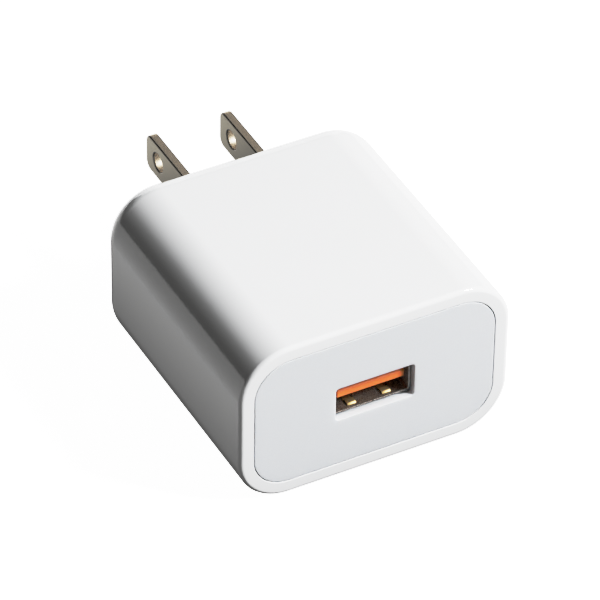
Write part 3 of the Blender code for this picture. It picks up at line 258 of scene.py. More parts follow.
# The narrow band between edge and face is coined, which presses it smooth enough to mirror the dark studio.
coined_band = new_material("nickel_plated_coined_brass", Metallic=1.0)
finish_surface(coined_band, grain=0.30, shades=("#4A463F", "#5C574E"), roughness=(0.12, 0.18), relief=0.0006)

plated_blade = new_material("nickel_plated_stamped_brass", Metallic=1.0)
finish_surface(
    plated_blade, grain=0.12, shades=("#6A665B", "#767165"), roughness=(0.30, 0.42), relief=0.0010,
    stretch=(1, 0.06, 1))

shell_steel = new_material("bright_plated_stamped_steel", Metallic=1.0)
finish_surface(shell_steel, grain=0.14, shades=("#3E3A36", "#CFCBC4"), roughness=(0.30, 0.56), relief=0.0060)

gold = new_material("gold_plated_phosphor_bronze", Metallic=1.0)
finish_surface(
    gold, grain=0.10, shades=("#D9A75A", "#E6BC74"), roughness=(0.20, 0.30), relief=0.0006,
    stretch=(1, 0.1, 1))

pale_gold = new_material("gold_flash_over_nickel", Metallic=1.0)
finish_surface(pale_gold, grain=0.12, shades=("#97855F", "#AE9A72"), roughness=(0.46, 0.58), relief=0.0008)
METALS = (sheared_edge, coined_band, plated_blade, shell_steel, gold, pale_gold)
print("metals:", [metal.name for metal in METALS])

# %% [markdown]
# ## The orange tongue
# Fast-charging ports carry a coloured insulator. It is glass-filled moulding, so its colour is a little
# uneven and its surface is dull. One flat orange would look painted, so its shade wanders slightly.

# %% Orange insulator
orange_plastic = new_material("orange_glass_filled_moulding", IOR=1.52, Specular_IOR_Level=0.3)
finish_surface(
    orange_plastic, grain=0.35, shades=("#FA842E", "#FF903A"), roughness=(0.40, 0.52), relief=0.002)
print("insulator:", orange_plastic.name)

# %% [markdown]
# ## Finishes inside the case
# The board and its parts never show from outside, but each keeps its own finish for whoever opens the case.
# Each row of the list is a real finish, with the size of its grain in millimetres. One list is easier to read
# and to change than seventeen copies of a recipe. A second list says which pieces wear each finish.

# %% Finishes inside
INSIDE_FINISHES = {
    # name: (metallic, grain mm, stretch, dark and light shade, roughness range, relief mm)
    "natural_moulded_polycarbonate": (0, 0.30, (1, 1, 1), ("#DCDCDA", "#E4E4E2"), (0.30, 0.40), 0.002),
    "rolled_spring_steel": (1, 0.10, (1, 1, 0.08), ("#A2A2A6", "#B4B4B8"), (0.25, 0.35), 0.001),
    "tinned_copper_strip": (1, 0.12, (1, 1, 0.08), ("#B89C7A", "#C9B091"), (0.30, 0.40), 0.001),
    "zinc_plated_screw_steel": (1, 0.15, (1, 1, 1), ("#ACACB2", "#C0C0C8"), (0.28, 0.40), 0.001),
    "green_solder_mask": (0, 1.20, (1, 1, 1), ("#145A2C", "#1D6E38"), (0.25, 0.40), 0.010),
    "white_polyester_film": (0, 2.00, (1, 1, 1), ("#D4D4D0", "#DEDEDA"), (0.35, 0.45), 0.004),
    "filled_silicone_pad": (0, 0.30, (1, 1, 1), ("#67788A", "#748698"), (0.60, 0.75), 0.010),
    "ground_manganese_ferrite": (0, 0.12, (1, 1, 1), ("#2B2B2D", "#3C3C3F"), (0.45, 0.65), 0.004),
    "black_phenolic_bobbin": (0, 0.25, (1, 1, 1), ("#151517", "#1F1F21"), (0.35, 0.48), 0.002),
    "yellow_polyester_tape": (0, 0.40, (0.2, 1, 1), ("#D8A81E", "#E6BA3A"), (0.22, 0.34), 0.008),
    "blue_shrink_sleeve": (0, 1.50, (1, 1, 1), ("#15204A", "#1C2A5C"), (0.18, 0.30), 0.004),
    "drawn_aluminium_can": (1, 0.08, (0.1, 0.1, 1), ("#C2C3C6", "#D4D5D8"), (0.22, 0.32), 0.001),
    "blue_dipped_epoxy": (0, 0.60, (1, 1, 1), ("#1B4787", "#24559A"), (0.30, 0.45), 0.020),
    "green_dipped_epoxy": (0, 0.60, (1, 1, 1), ("#1F4A28", "#2A5A34"), (0.35, 0.50), 0.020),
    "grey_cement_coating": (0, 0.20, (1, 1, 1), ("#777B7B", "#8A8E8E"), (0.55, 0.75), 0.008),
    "tan_fired_ceramic": (0, 0.10, (1, 1, 1), ("#8A7350", "#9C8560"), (0.40, 0.55), 0.002),
    "moulded_chip_epoxy": (0, 0.10, (1, 1, 1), ("#141414", "#202020"), (0.45, 0.60), 0.002),
}
finishes = {}
for name, (metallic, grain, stretch, shades, roughness, relief) in INSIDE_FINISHES.items():
    finishes[name] = new_material(name, Metallic=metallic)
    finish_surface(finishes[name], grain, shades, roughness, relief, stretch)

INSIDE_PIECES = {
    "natural_moulded_polycarbonate": ["prong_retainer"],
    "rolled_spring_steel": ["detent_spring"],
    "tinned_copper_strip": ["mains_spring_left", "mains_spring_right"],
    "zinc_plated_screw_steel": ["retainer_screw_left", "retainer_screw_right"],
    "green_solder_mask": ["main_board"],
    "white_polyester_film": ["insulating_sheet"],
    "filled_silicone_pad": ["thermal_pad"],
    "ground_manganese_ferrite": ["transformer_core_front", "transformer_core_rear", "input_inductor"],
    "black_phenolic_bobbin": ["transformer_bobbin"],
    "yellow_polyester_tape": ["transformer_winding", "transformer_tape"],
    "blue_shrink_sleeve": ["bulk_capacitor_front", "bulk_capacitor_rear"],
    "drawn_aluminium_can": ["output_capacitor_left", "output_capacitor_right"],
    "blue_dipped_epoxy": ["safety_capacitor"],
    "green_dipped_epoxy": ["inrush_thermistor"],
    "grey_cement_coating": ["input_fuse"],
    "tan_fired_ceramic": ["chip_resistor_1", "chip_resistor_2", "chip_resistor_3"],
    "moulded_chip_epoxy": ["bridge_rectifier", "switching_transistor", "controller_chip", "optocoupler",
                           "output_diode"],
}
CONTACTS = (1, 2, 3, 4)


def dress(piece, material):
    """Give a piece this material and no other."""
    piece.data.materials.clear()
    piece.data.materials.append(material)


for name, members in INSIDE_PIECES.items():
    for member in members:
        dress(nodes[member], finishes[name])
for i in CONTACTS:
    dress(nodes[f"usb_tail_{i}"], gold)
print("finished inside:", sum(len(members) for members in INSIDE_PIECES.values()) + len(CONTACTS), "pieces")

# %% [markdown]
# ## Working by hand, in code
# Each piece starts from a primitive at its size and place. An operator acts on everything that is selected,
# so every step first deselects all of it and then picks faces or edges by where they are. Their numbers would
# be shorter to write, but numbers change with every cut.

# %% Modelling helpers
NEAR = 0.01 * MM  # two places closer than this count as one
PARALLEL = 0.999  # the share of a direction along an axis, above which it runs along that axis
SMOOTH_BELOW = radians(35)  # faces that meet at less than this are shaded as one


def select_only(piece):
    """Make a piece the only selected object and the active one."""
    bpy.ops.object.select_all(action="DESELECT")
    piece.select_set(True)
    bpy.context.view_layer.objects.active = piece


def add_block(name, low, high):
    """A box between two corners, with its place in its mesh."""
    low, high = Vector(low), Vector(high)
    bpy.ops.object.select_all(action="DESELECT")
    bpy.ops.mesh.primitive_cube_add(size=1, location=(low + high) / 2, scale=high - low)
    piece = bpy.context.object
    piece.name = name
    bpy.ops.object.transform_apply(location=True, rotation=True, scale=True)
    return piece


def add_side_block(name, side, x, y, z):
    """A block on the left, -1, or the right, 1, whose x counts outwards from the middle."""
    x_low, x_high = sorted((side * x[0], side * x[1]))
    return add_block(name, (x_low, y[0], z[0]), (x_high, y[1], z[1]))


def add_rod(name, radius, start, end, sides=64):
    """A round bar from one point to another."""
    start, end = Vector(start), Vector(end)
    along = end - start
    bpy.ops.object.select_all(action="DESELECT")
    bpy.ops.mesh.primitive_cylinder_add(
        vertices=sides, radius=radius, depth=along.length, location=(start + end) / 2,
        rotation=along.to_track_quat("Z", "Y").to_euler())
    piece = bpy.context.object
    piece.name = name
    bpy.ops.object.transform_apply(location=True, rotation=True, scale=True)
    return piece


def work_on(piece, kind):
    """Open one piece in edit mode with nothing selected, ready to pick faces or edges."""
    select_only(piece)
    bpy.ops.object.mode_set(mode="EDIT")
    bpy.ops.mesh.select_mode(type=kind)
    bpy.ops.mesh.select_all(action="DESELECT")


def pick(piece, kind, wanted):
    """Select the faces or edges for which wanted(item) is true. The piece is in edit mode."""
    shape = bmesh.from_edit_mesh(piece.data)
    found = 0
    for item in shape.faces if kind == "FACE" else shape.edges:
        if wanted(item):
            item.select_set(True)
            found += 1
    bmesh.update_edit_mesh(piece.data)
    return found


def round_edges(piece, wanted, radius, segments):
    """Round the edges for which wanted(edge) is true. One segment makes a chamfer."""
    work_on(piece, "EDGE")
    if pick(piece, "EDGE", wanted):
        bpy.ops.mesh.bevel(
            offset=radius, offset_type="OFFSET", segments=segments, profile=0.5, affect="EDGES",
            clamp_overlap=True)
    bpy.ops.object.mode_set(mode="OBJECT")


def is_sharp(edge, least=radians(30)):
    """True for an edge whose two faces turn by more than this."""
    return len(edge.link_faces) == 2 and edge.calc_face_angle(0) > least


def runs_along(edge, axis):
    """True for an edge that is parallel to the X, Y or Z axis."""
    line = (edge.verts[1].co - edge.verts[0].co).normalized()
    return abs(line["XYZ".index(axis)]) > PARALLEL


def lies_at(edge, axis, value):
    """True for an edge whose two ends are both at this X, Y or Z."""
    i = "XYZ".index(axis)
    return all(abs(v.co[i] - value) < NEAR for v in edge.verts)


def use_tool(piece, tool, operation):
    """Cut a tool out of a piece, or weld it on, and throw the tool away."""
    select_only(piece)
    modifier = piece.modifiers.new(operation, "BOOLEAN")
    modifier.operation = operation
    modifier.solver = "EXACT"
    modifier.object = tool
    bpy.ops.object.modifier_apply(modifier=modifier.name)
    bpy.data.objects.remove(tool, do_unlink=True)


def finish_piece(piece, body, material, stands_for):
    """Shade a piece smooth, dress it, and fix it to its body in place of its engineering stand-in."""
    select_only(piece)
    bpy.ops.object.shade_smooth_by_angle(angle=SMOOTH_BELOW)
    flat = piece.modifiers.new("flat faces stay flat", "WEIGHTED_NORMAL")
    flat.keep_sharp = True
    flat.weight = 100
    bpy.ops.object.modifier_apply(modifier=flat.name)
    dress(piece, material)
    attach(piece, body)
    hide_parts(*stands_for)
    shape = bmesh.new()
    shape.from_mesh(piece.data)
    loose = sum(len(edge.link_faces) != 2 for edge in shape.edges)
    volume = round(shape.calc_volume() / MM ** 3, 1)
    shape.free()
    print(piece.name, len(piece.data.polygons), "faces,", loose, "open edges,", volume, "mm3")


# %% [markdown]
# ## Sizes
# Every place comes from the frame. What the boxes don't say, such as a wall or a radius, is named where it is
# first needed. Named sizes read like a drawing, and each can be changed in one place.

# %% Sizes from the frame
case_low, case_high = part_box("case")
cover_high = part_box("front_cover")[1]
carrier_low, carrier_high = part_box("prong_carrier")
blade_low, blade_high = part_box("prong_right")
shell_low, shell_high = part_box("usb_shell")
tongue_low, tongue_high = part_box("usb_tongue")
board_low, board_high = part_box("main_board")
middle = (case_low.z + case_high.z) / 2
front, back = case_low.y, case_high.y
pivot = Vector(next(joint["pos_m"] for joint in frame["joints"] if joint["name"] == "prong_fold"))

CASE_CORNER = 8.3 * MM
CASE_WALL = 2.35 * MM
FRONT_EDGE = 0.7 * MM
BACK_EDGE = 3.9 * MM
RIM_EDGE = 0.08 * MM
GAP = 0.3 * MM  # between two pieces that must pass or clear each other
beyond = back + CASE_WALL  # where a tool ends that cuts right through the back
print("case", [round(v / MM, 1) for v in case_high - case_low], "mm")
print("fold at", [round(v / MM, 2) for v in pivot], "mm")

# %% [markdown]
# ## Case
# The real case is one bucket-shaped moulding. A block gets its four long corners rounded, then its back
# edge and its front edge, and the front face is inset and pushed in to leave the wall. A sheet with a
# thickness would give a wall too, but it is pushed in here so that the inside corners get a radius of their
# own.

# %% Case
case = add_block("case_moulding", case_low, case_high)
round_edges(case, lambda e: runs_along(e, "Y"), CASE_CORNER, segments=24)
round_edges(case, lambda e: lies_at(e, "Y", back) and is_sharp(e), BACK_EDGE, segments=12)
round_edges(case, lambda e: lies_at(e, "Y", front) and is_sharp(e), FRONT_EDGE, segments=5)

work_on(case, "FACE")
pick(case, "FACE", lambda f: f.normal.y < -PARALLEL)
bpy.ops.mesh.inset(thickness=CASE_WALL - FRONT_EDGE, use_even_offset=True)
hollow = back - front - CASE_WALL
bpy.ops.mesh.extrude_region_move(TRANSFORM_OT_translate={"value": (0, hollow, 0)})
bpy.ops.mesh.select_all(action="SELECT")
bpy.ops.mesh.normals_make_consistent(inside=False)
bpy.ops.object.mode_set(mode="OBJECT")
round_edges(
    case, lambda e: lies_at(e, "Y", back - CASE_WALL) and is_sharp(e), BACK_EDGE - CASE_WALL, segments=5)
round_edges(case, lambda e: lies_at(e, "Y", front) and is_sharp(e), RIM_EDGE, segments=3)
print("hollow case:", len(case.data.polygons), "faces")

# %% [markdown]
# ## Inside the case
# The same moulding holds what is inside. Two ribs on each side wall grip the board, four posts in the corners
# stop the cover, and a recess in each wall takes a snap hook. They could be loose pieces that only touch the
# wall, but a real one is moulded in one shot, so each block reaches half way into the wall and is welded to
# it.

# %% Ribs, posts and hook recesses
inner_side, inner_back = case_high.x - CASE_WALL, back - CASE_WALL
ROOTED = CASE_WALL / 2  # how far a block that is welded on reaches into the wall
RIB_WIDTH = 1.2 * MM
RIB_THICKNESS = 1.0 * MM
RIB_START = 6.2 * MM
POST_SIZE = 2.5 * MM
POST_BESIDE_BOARD = 5.6 * MM
COVER_THICKNESS = 2.0 * MM
LOCATING_DEPTH = 3.0 * MM  # of the walls behind the cover that centre it in the case
HOOK_LENGTH = 1.2 * MM
HOOK_HALF_HEIGHT = 2.5 * MM
RECESS_DEPTH = 0.5 * MM
corner_cut = (1 - cos(radians(45))) * (CASE_CORNER - CASE_WALL)
post_x = inner_side - corner_cut - POST_SIZE / 2
post_z = (case_high.z - CASE_WALL - middle) - corner_cut - POST_SIZE / 2
post_end = POST_SIZE / 2 + ROOTED
hook_end = front + COVER_THICKNESS + LOCATING_DEPTH - GAP
hook_start = hook_end - HOOK_LENGTH

for side in (-1, 1):
    for low in (board_high.z + GAP, board_low.z - GAP - RIB_THICKNESS):
        rib = add_side_block(
            "rib", side, (inner_side - RIB_WIDTH, inner_side + ROOTED), (front + RIB_START, board_high.y),
            (low, low + RIB_THICKNESS))
        use_tool(case, rib, "UNION")
    for up in (-1, 1):
        post = add_side_block(
            "post", side, (post_x, post_x + post_end),
            (front + COVER_THICKNESS + GAP, board_low.y + POST_BESIDE_BOARD),
            sorted((middle + up * post_z, middle + up * (post_z + post_end))))
        use_tool(case, post, "UNION")
    recess = add_side_block(
        "hook_recess", side, (inner_side - RIB_WIDTH / 2, inner_side + RECESS_DEPTH),
        (hook_start - GAP, hook_end + GAP),
        (middle - HOOK_HALF_HEIGHT - GAP, middle + HOOK_HALF_HEIGHT + GAP))
    use_tool(case, recess, "DIFFERENCE")
print("with ribs, posts and recesses:", len(case.data.polygons), "faces")

# %% [markdown]
# ## Bearings
# The folding blades turn on two short pins, the trunnions. Two bearings on the inside of the back wall hold
# them, and a boss beside each takes the screw of the retainer that closes it.

# %% Bearings and screw bosses
BEARING_DEPTH = 2.2 * MM
BEARING_START, BEARING_END = 9.9 * MM, 12.1 * MM
BEARING_WALL = 1.3 * MM
TRUNNION_RADIUS = 1.2 * MM
TRUNNION_PLAY = 0.1 * MM
GROOVE_RADIUS = TRUNNION_RADIUS + TRUNNION_PLAY
BOSS_RADIUS = 2.2 * MM
RETAINER_EAR = 4.8 * MM
screw_x = BEARING_END + BEARING_WALL + RETAINER_EAR / 2
for side in (-1, 1):
    half = TRUNNION_RADIUS + BEARING_WALL
    bearing = add_side_block(
        "bearing", side, (BEARING_START, BEARING_END + BEARING_WALL),
        (inner_back - BEARING_DEPTH, inner_back + ROOTED), (pivot.z - half, pivot.z + half))
    use_tool(case, bearing, "UNION")
    boss = add_rod(
        "screw_boss", BOSS_RADIUS, (side * screw_x, inner_back - BEARING_DEPTH, pivot.z),
        (side * screw_x, inner_back + ROOTED, pivot.z))
    use_tool(case, boss, "UNION")
print("with bearings:", len(case.data.polygons), "faces")

# %% [markdown]
# ## Openings in the back
# Each blade folds into a slot that has a wall of its own round it, and the barrel between the blades turns in
# a window. A mould forms them with steel cores. Here a tool of the opening's shape is cut out, which is the
# same idea and keeps the edges exact. The wall comes first, as a solid pocket, and then the slot in it.

# %% Pockets, slots and barrel window
BLADE_WIDTH = 6.35 * MM
BLADE_THICKNESS = 1.5 * MM
BLADE_PLACE = 6.35 * MM  # half the spacing of the two blades
SLOT_CLEARANCE = 0.45 * MM
POCKET_WALL = 0.9 * MM
POCKET_DROP = 0.6 * MM  # below the carrier
SHOULDER_WALL = 1.3 * MM  # outside each blade, on the barrel
blade_top, blade_bottom = blade_high.z, blade_high.z - BLADE_WIDTH
slot_front = pivot.y + blade_bottom - pivot.z - SLOT_CLEARANCE
slot_bottom = pivot.z - (blade_high.y - pivot.y) - GAP
slot_half = BLADE_THICKNESS / 2 + SLOT_CLEARANCE
pocket_half = slot_half + POCKET_WALL
barrel_radius = carrier_high.z - pivot.z
shoulder = BLADE_PLACE + BLADE_THICKNESS / 2 + SHOULDER_WALL
window_x = shoulder + GAP

for side in (-1, 1):
    pocket = add_side_block(
        "pocket", side, (BLADE_PLACE - pocket_half, BLADE_PLACE + pocket_half),
        (slot_front - POCKET_WALL, back - ROOTED), (case_low.z + ROOTED, carrier_low.z - POCKET_DROP))
    use_tool(case, pocket, "UNION")
for side in (-1, 1):
    slot = add_side_block(
        "slot", side, (BLADE_PLACE - slot_half, BLADE_PLACE + slot_half), (slot_front, beyond),
        (slot_bottom, pivot.z))
    use_tool(case, slot, "DIFFERENCE")
window = add_block(
    "window",
    (-window_x, back - 2 * CASE_WALL, pivot.z - barrel_radius - GAP),
    (window_x, beyond, pivot.z + barrel_radius + GAP))
use_tool(case, window, "DIFFERENCE")
print("with slots and window:", len(case.data.polygons), "faces")

# %% [markdown]
# ## Seats for the pins, and the finger scoop
# The trunnions drop into their bearings from inside, through a groove as wide as the pin, and each boss is
# drilled for its screw. A shallow scoop in the back lets a finger lift the folded blades. It is the mark of
# a wide cylinder that lies across the back, so that cylinder is what cuts it. Last, every mouth in the back
# gets the small radius that a mould maker would give it.

# %% Grooves, screw holes and scoop
SCREW_HOLE_RADIUS = 0.9 * MM
SCOOP_RADIUS = 7.0 * MM
SCOOP_DEPTH = 1.3 * MM
SCOOP_HEIGHT = 7.8 * MM
SCOOP_HALF_LENGTH = 11 * MM
OPENING_EDGE = 0.25 * MM
groove_inside = inner_back - 2 * BEARING_DEPTH
groove_x = (shoulder - GAP, BEARING_END + TRUNNION_PLAY)
for side in (-1, 1):
    groove = add_side_block(
        "bearing_groove", side, groove_x, (groove_inside, pivot.y),
        (pivot.z - GROOVE_RADIUS, pivot.z + GROOVE_RADIUS))
    use_tool(case, groove, "DIFFERENCE")
    seat = add_rod(
        "trunnion_seat", GROOVE_RADIUS, (side * groove_x[0], pivot.y, pivot.z),
        (side * groove_x[1], pivot.y, pivot.z))
    use_tool(case, seat, "DIFFERENCE")
    hole = add_rod(
        "screw_hole", SCREW_HOLE_RADIUS, (side * screw_x, groove_inside, pivot.z),
        (side * screw_x, inner_back + ROOTED, pivot.z), sides=32)
    use_tool(case, hole, "DIFFERENCE")

scoop_middle = Vector((0, back + SCOOP_RADIUS - SCOOP_DEPTH, SCOOP_HEIGHT))
scoop_end = Vector((SCOOP_HALF_LENGTH, 0, 0))
scoop = add_rod("scoop", SCOOP_RADIUS, scoop_middle - scoop_end, scoop_middle + scoop_end, sides=128)
use_tool(case, scoop, "DIFFERENCE")
round_edges(case, lambda e: lies_at(e, "Y", back) and is_sharp(e), OPENING_EDGE, segments=3)
finish_piece(case, "charger", white_plastic, ["case"])

# %% [markdown]
# ## Front cover
# The cover is a plate that sits flush in the rim. It could be drawn as a line on the case, but a real gap
# has depth, and stays dark from every side. Its edge and the lip of the port are broken by a small radius,
# which is what catches the light along the seam. Behind the plate, short walls centre it in the case, and a
# hook on each side wall snaps into its recess. The port is cut last: an opening at the front, and a slightly
# wider relief behind its lip.

# %% Front cover
SEAM = 0.14 * MM  # finer than in the engineering model, as thin as the real one looks
LOCATING_WALL = 1.0 * MM
LOCATING_HALF_LENGTH = 5.0 * MM
PORT_WIDTH = 13.2 * MM
PORT_HEIGHT = 6.0 * MM
PORT_CORNER = 0.55 * MM
PORT_LIP = 1.1 * MM
PORT_RELIEF = 0.25 * MM
COVER_EDGE = 0.07 * MM
inset = CASE_WALL + SEAM
plate_low = Vector((case_low.x + inset, front, case_low.z + inset))
plate_high = Vector((case_high.x - inset, front + COVER_THICKNESS, case_high.z - inset))
cover = add_block("cover_moulding", plate_low, plate_high)
round_edges(cover, lambda e: runs_along(e, "Y"), CASE_CORNER - inset, segments=20)

wall_y = (front + COVER_THICKNESS / 2, front + COVER_THICKNESS + LOCATING_DEPTH)
for side in (-1, 1):
    wall = add_side_block(
        "side_wall", side, (plate_high.x - LOCATING_WALL, plate_high.x), wall_y,
        (middle - LOCATING_HALF_LENGTH, middle + LOCATING_HALF_LENGTH))
    use_tool(cover, wall, "UNION")
    edge_z = middle + side * (plate_high.z - middle)
    wall_z = sorted((edge_z, edge_z - side * LOCATING_WALL))
    wall = add_block(
        "level_wall",
        (-LOCATING_HALF_LENGTH, wall_y[0], wall_z[0]), (LOCATING_HALF_LENGTH, wall_y[1], wall_z[1]))
    use_tool(cover, wall, "UNION")
    hook = add_side_block(
        "hook", side, (plate_high.x - LOCATING_WALL / 2, cover_high.x), (hook_start, hook_end),
        (middle - HOOK_HALF_HEIGHT, middle + HOOK_HALF_HEIGHT))
    use_tool(cover, hook, "UNION")

for name, grow, start in (("aperture", 0.0, front - CASE_WALL), ("relief", PORT_RELIEF, front + PORT_LIP)):
    half_x, half_z = PORT_WIDTH / 2 + grow, PORT_HEIGHT / 2 + grow
    tool = add_block(
        name, (-half_x, start, middle - half_z), (half_x, front + 2 * COVER_THICKNESS, middle + half_z))
    round_edges(tool, lambda e: runs_along(e, "Y"), PORT_CORNER + grow, segments=8)
    use_tool(cover, tool, "DIFFERENCE")
round_edges(cover, lambda e: lies_at(e, "Y", front) and is_sharp(e), COVER_EDGE, segments=3)
finish_piece(cover, "charger", satin_plastic, ["front_cover"])

# %% [markdown]
# ## Blades
# Each blade is stamped from strip, with rounded tip corners, a coined edge and the standard hole. Behind the
# wall it narrows to a root that the carrier holds, with a lug that reaches its mains spring. The edges are
# rounded before the root is welded on, because the real root is buried and stays square. Sheared edge and
# coined band get their own metal, and the direction of each face tells which it is.

# %% Blades
TIP_RADIUS = 1.4 * MM
HOLE_RADIUS = 1.59 * MM
HOLE_PLACE = 11.9 * MM
ROOT_GAP = 0.3 * MM
BLADE_EDGE = 0.22 * MM
LUG_PLACE = 2.65 * MM  # in front of the pivot, and as far below it
LUG_HALF = 0.75 * MM
EDGE_FACE, FLAT_FACE = 0.1, 0.99  # shares of a face's direction that point sideways
tip = blade_high.y
blade_x = (BLADE_PLACE - BLADE_THICKNESS / 2, BLADE_PLACE + BLADE_THICKNESS / 2)
root_top = pivot.z - BLADE_THICKNESS / 2
lug_y, lug_z = pivot.y - LUG_PLACE, pivot.z - LUG_PLACE


def make_blade(name, side):
    """One blade, with its hole, root and lug."""
    blade = add_side_block(name, side, blade_x, (pivot.y - ROOT_GAP, tip), (blade_bottom, blade_top))
    round_edges(blade, lambda e: runs_along(e, "X") and lies_at(e, "Y", tip), TIP_RADIUS, segments=10)
    hole_middle = Vector((side * BLADE_PLACE, back + HOLE_PLACE, (blade_top + blade_bottom) / 2))
    hole_end = Vector((BLADE_THICKNESS / 2 + MM, 0, 0))
    hole = add_rod("hole", HOLE_RADIUS, hole_middle - hole_end, hole_middle + hole_end)
    use_tool(blade, hole, "DIFFERENCE")
    round_edges(blade, lambda e: is_sharp(e, least=radians(50)), BLADE_EDGE, segments=3)
    root = add_side_block("root", side, blade_x, (blade_low.y, pivot.y), (blade_low.z, root_top))
    use_tool(blade, root, "UNION")
    lug = add_side_block(
        "lug", side, (BLADE_PLACE, blade_high.x), (lug_y - LUG_HALF, lug_y + LUG_HALF),
        (lug_z - LUG_HALF, lug_z + LUG_HALF))
    use_tool(blade, lug, "UNION")
    return blade


for name, side in (("left", -1), ("right", 1)):
    blade = make_blade(f"blade_{name}", side)
    finish_piece(blade, "prongs", plated_blade, [f"prong_{name}"])
    blade.data.materials.append(sheared_edge)
    blade.data.materials.append(coined_band)
    for face in blade.data.polygons:
        if abs(face.normal.x) < EDGE_FACE:
            face.material_index = 1
        elif abs(face.normal.x) < FLAT_FACE:
            face.material_index = 2

# %% [markdown]
# ## Carrier
# The blades are moulded into a carrier. Its round barrel fills the window in the back wall, and turns there
# on two trunnions. Only the barrel shows, so it gets the smooth round surface, and the block behind it only
# needs its true outline. Chamfers on two of its corners keep it clear of the case as it turns.

# %% Carrier
BARREL_EDGE = 0.12 * MM
LOWER_CHAMFER = 1.4 * MM
HEEL_CHAMFER = 0.7 * MM
SEAT_GAP = 0.15 * MM  # round each blade, so that two solids never share a face
barrel = add_rod(
    "carrier_moulding", barrel_radius, (-shoulder, pivot.y, pivot.z), (shoulder, pivot.y, pivot.z), sides=96)
round_edges(barrel, is_sharp, BARREL_EDGE, segments=2)
trunnions = add_rod(
    "trunnions", TRUNNION_RADIUS, (carrier_low.x, pivot.y, pivot.z), (carrier_high.x, pivot.y, pivot.z),
    sides=48)
use_tool(barrel, trunnions, "UNION")
near = CASE_WALL - (back - pivot.y) + GAP
block = add_block(
    "carrier_block", (-shoulder, carrier_low.y, carrier_low.z), (shoulder, pivot.y - near, pivot.z - near))
for edge_height, chamfer in ((carrier_low.z, LOWER_CHAMFER), (pivot.z - near, HEEL_CHAMFER)):
    round_edges(
        block, lambda e: lies_at(e, "Y", carrier_low.y) and lies_at(e, "Z", edge_height), chamfer, segments=1)
use_tool(barrel, block, "UNION")

seat_x = (blade_x[0] - SEAT_GAP, blade_x[1] + SEAT_GAP)
lug_reach = LUG_HALF + SEAT_GAP
SEATS = {
    # name: (x counted outwards, y, z), each from low to high
    "seat": (
        seat_x, (pivot.y - ROOT_GAP - SEAT_GAP, beyond), (blade_bottom - SEAT_GAP, blade_top + SEAT_GAP)),
    "root_seat": (
        seat_x, (blade_low.y - SEAT_GAP, pivot.y), (blade_low.z - SEAT_GAP, root_top + SEAT_GAP)),
    "lug_seat": (
        (BLADE_PLACE, blade_high.x + SEAT_GAP), (lug_y - lug_reach, lug_y + lug_reach),
        (lug_z - lug_reach, lug_z + lug_reach)),
}
for side in (-1, 1):
    for name, (x, y, z) in SEATS.items():
        use_tool(barrel, add_side_block(name, side, x, y, z), "DIFFERENCE")
finish_piece(
    barrel, "prongs", finishes["natural_moulded_polycarbonate"], ["prong_carrier"])

# %% [markdown]
# ## USB shell
# The port's shell is stamped from sheet steel and folded to a tube. Its front edge is a bright line inside
# the aperture. Folding a flat sheet would need every bend, so a block is bored out instead and leaves a wall
# of the sheet's thickness. Two windows in its floor make room for the latches, and two legs reach down to the
# board.

# %% USB shell
BORE_WIDTH = 12.5 * MM
BORE_HEIGHT = 5.12 * MM
SHEET = 0.3 * MM
SHELL_CORNER = 0.5 * MM
BORE_CORNER = 0.25 * MM
SHELL_EDGE = 0.07 * MM
LEG_SETBACK = 9.0 * MM
LEG_LENGTH = 2.0 * MM
SPRING_GAP = 0.15 * MM  # on each side of a latch or a contact
tube_low = Vector((shell_low.x, shell_low.y, middle - BORE_HEIGHT / 2 - SHEET))
tube_high = Vector((shell_high.x, shell_high.y, middle + BORE_HEIGHT / 2 + SHEET))
shell = add_block("port_shell", tube_low, tube_high)
round_edges(shell, lambda e: runs_along(e, "Y"), SHELL_CORNER, segments=5)
for side in (-1, 1):
    leg = add_side_block(
        "leg", side, (tube_high.x - SHEET, tube_high.x),
        (front + LEG_SETBACK, front + LEG_SETBACK + LEG_LENGTH), (shell_low.z, middle))
    use_tool(shell, leg, "UNION")
bore = add_block(
    "bore",
    (-BORE_WIDTH / 2, tube_low.y - MM, middle - BORE_HEIGHT / 2),
    (BORE_WIDTH / 2, tube_high.y + MM, middle + BORE_HEIGHT / 2))
round_edges(bore, lambda e: runs_along(e, "Y"), BORE_CORNER, segments=4)
use_tool(shell, bore, "DIFFERENCE")
for name in ("left", "right"):
    latch_low, latch_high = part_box(f"usb_latch_{name}")
    window = add_block(
        "latch_window",
        (latch_low.x - SPRING_GAP, latch_low.y - SPRING_GAP, tube_low.z - MM),
        (latch_high.x + SPRING_GAP, latch_high.y + SPRING_GAP, tube_low.z + 2 * SHEET))
    use_tool(shell, window, "DIFFERENCE")
round_edges(shell, lambda e: lies_at(e, "Y", tube_low.y) and is_sharp(e), SHELL_EDGE, segments=2)
finish_piece(shell, "charger", shell_steel, ["usb_shell"])

# %% [markdown]
# ## Tongue
# The orange insulator is one moulding: a thin tongue in the middle of the port, and a block behind it that
# fills the shell. Each contact lies in a groove under the tongue, and its tail runs back through a lower
# groove in the block. The upper front edge is chamfered, as on the real one, to lead the plug in.

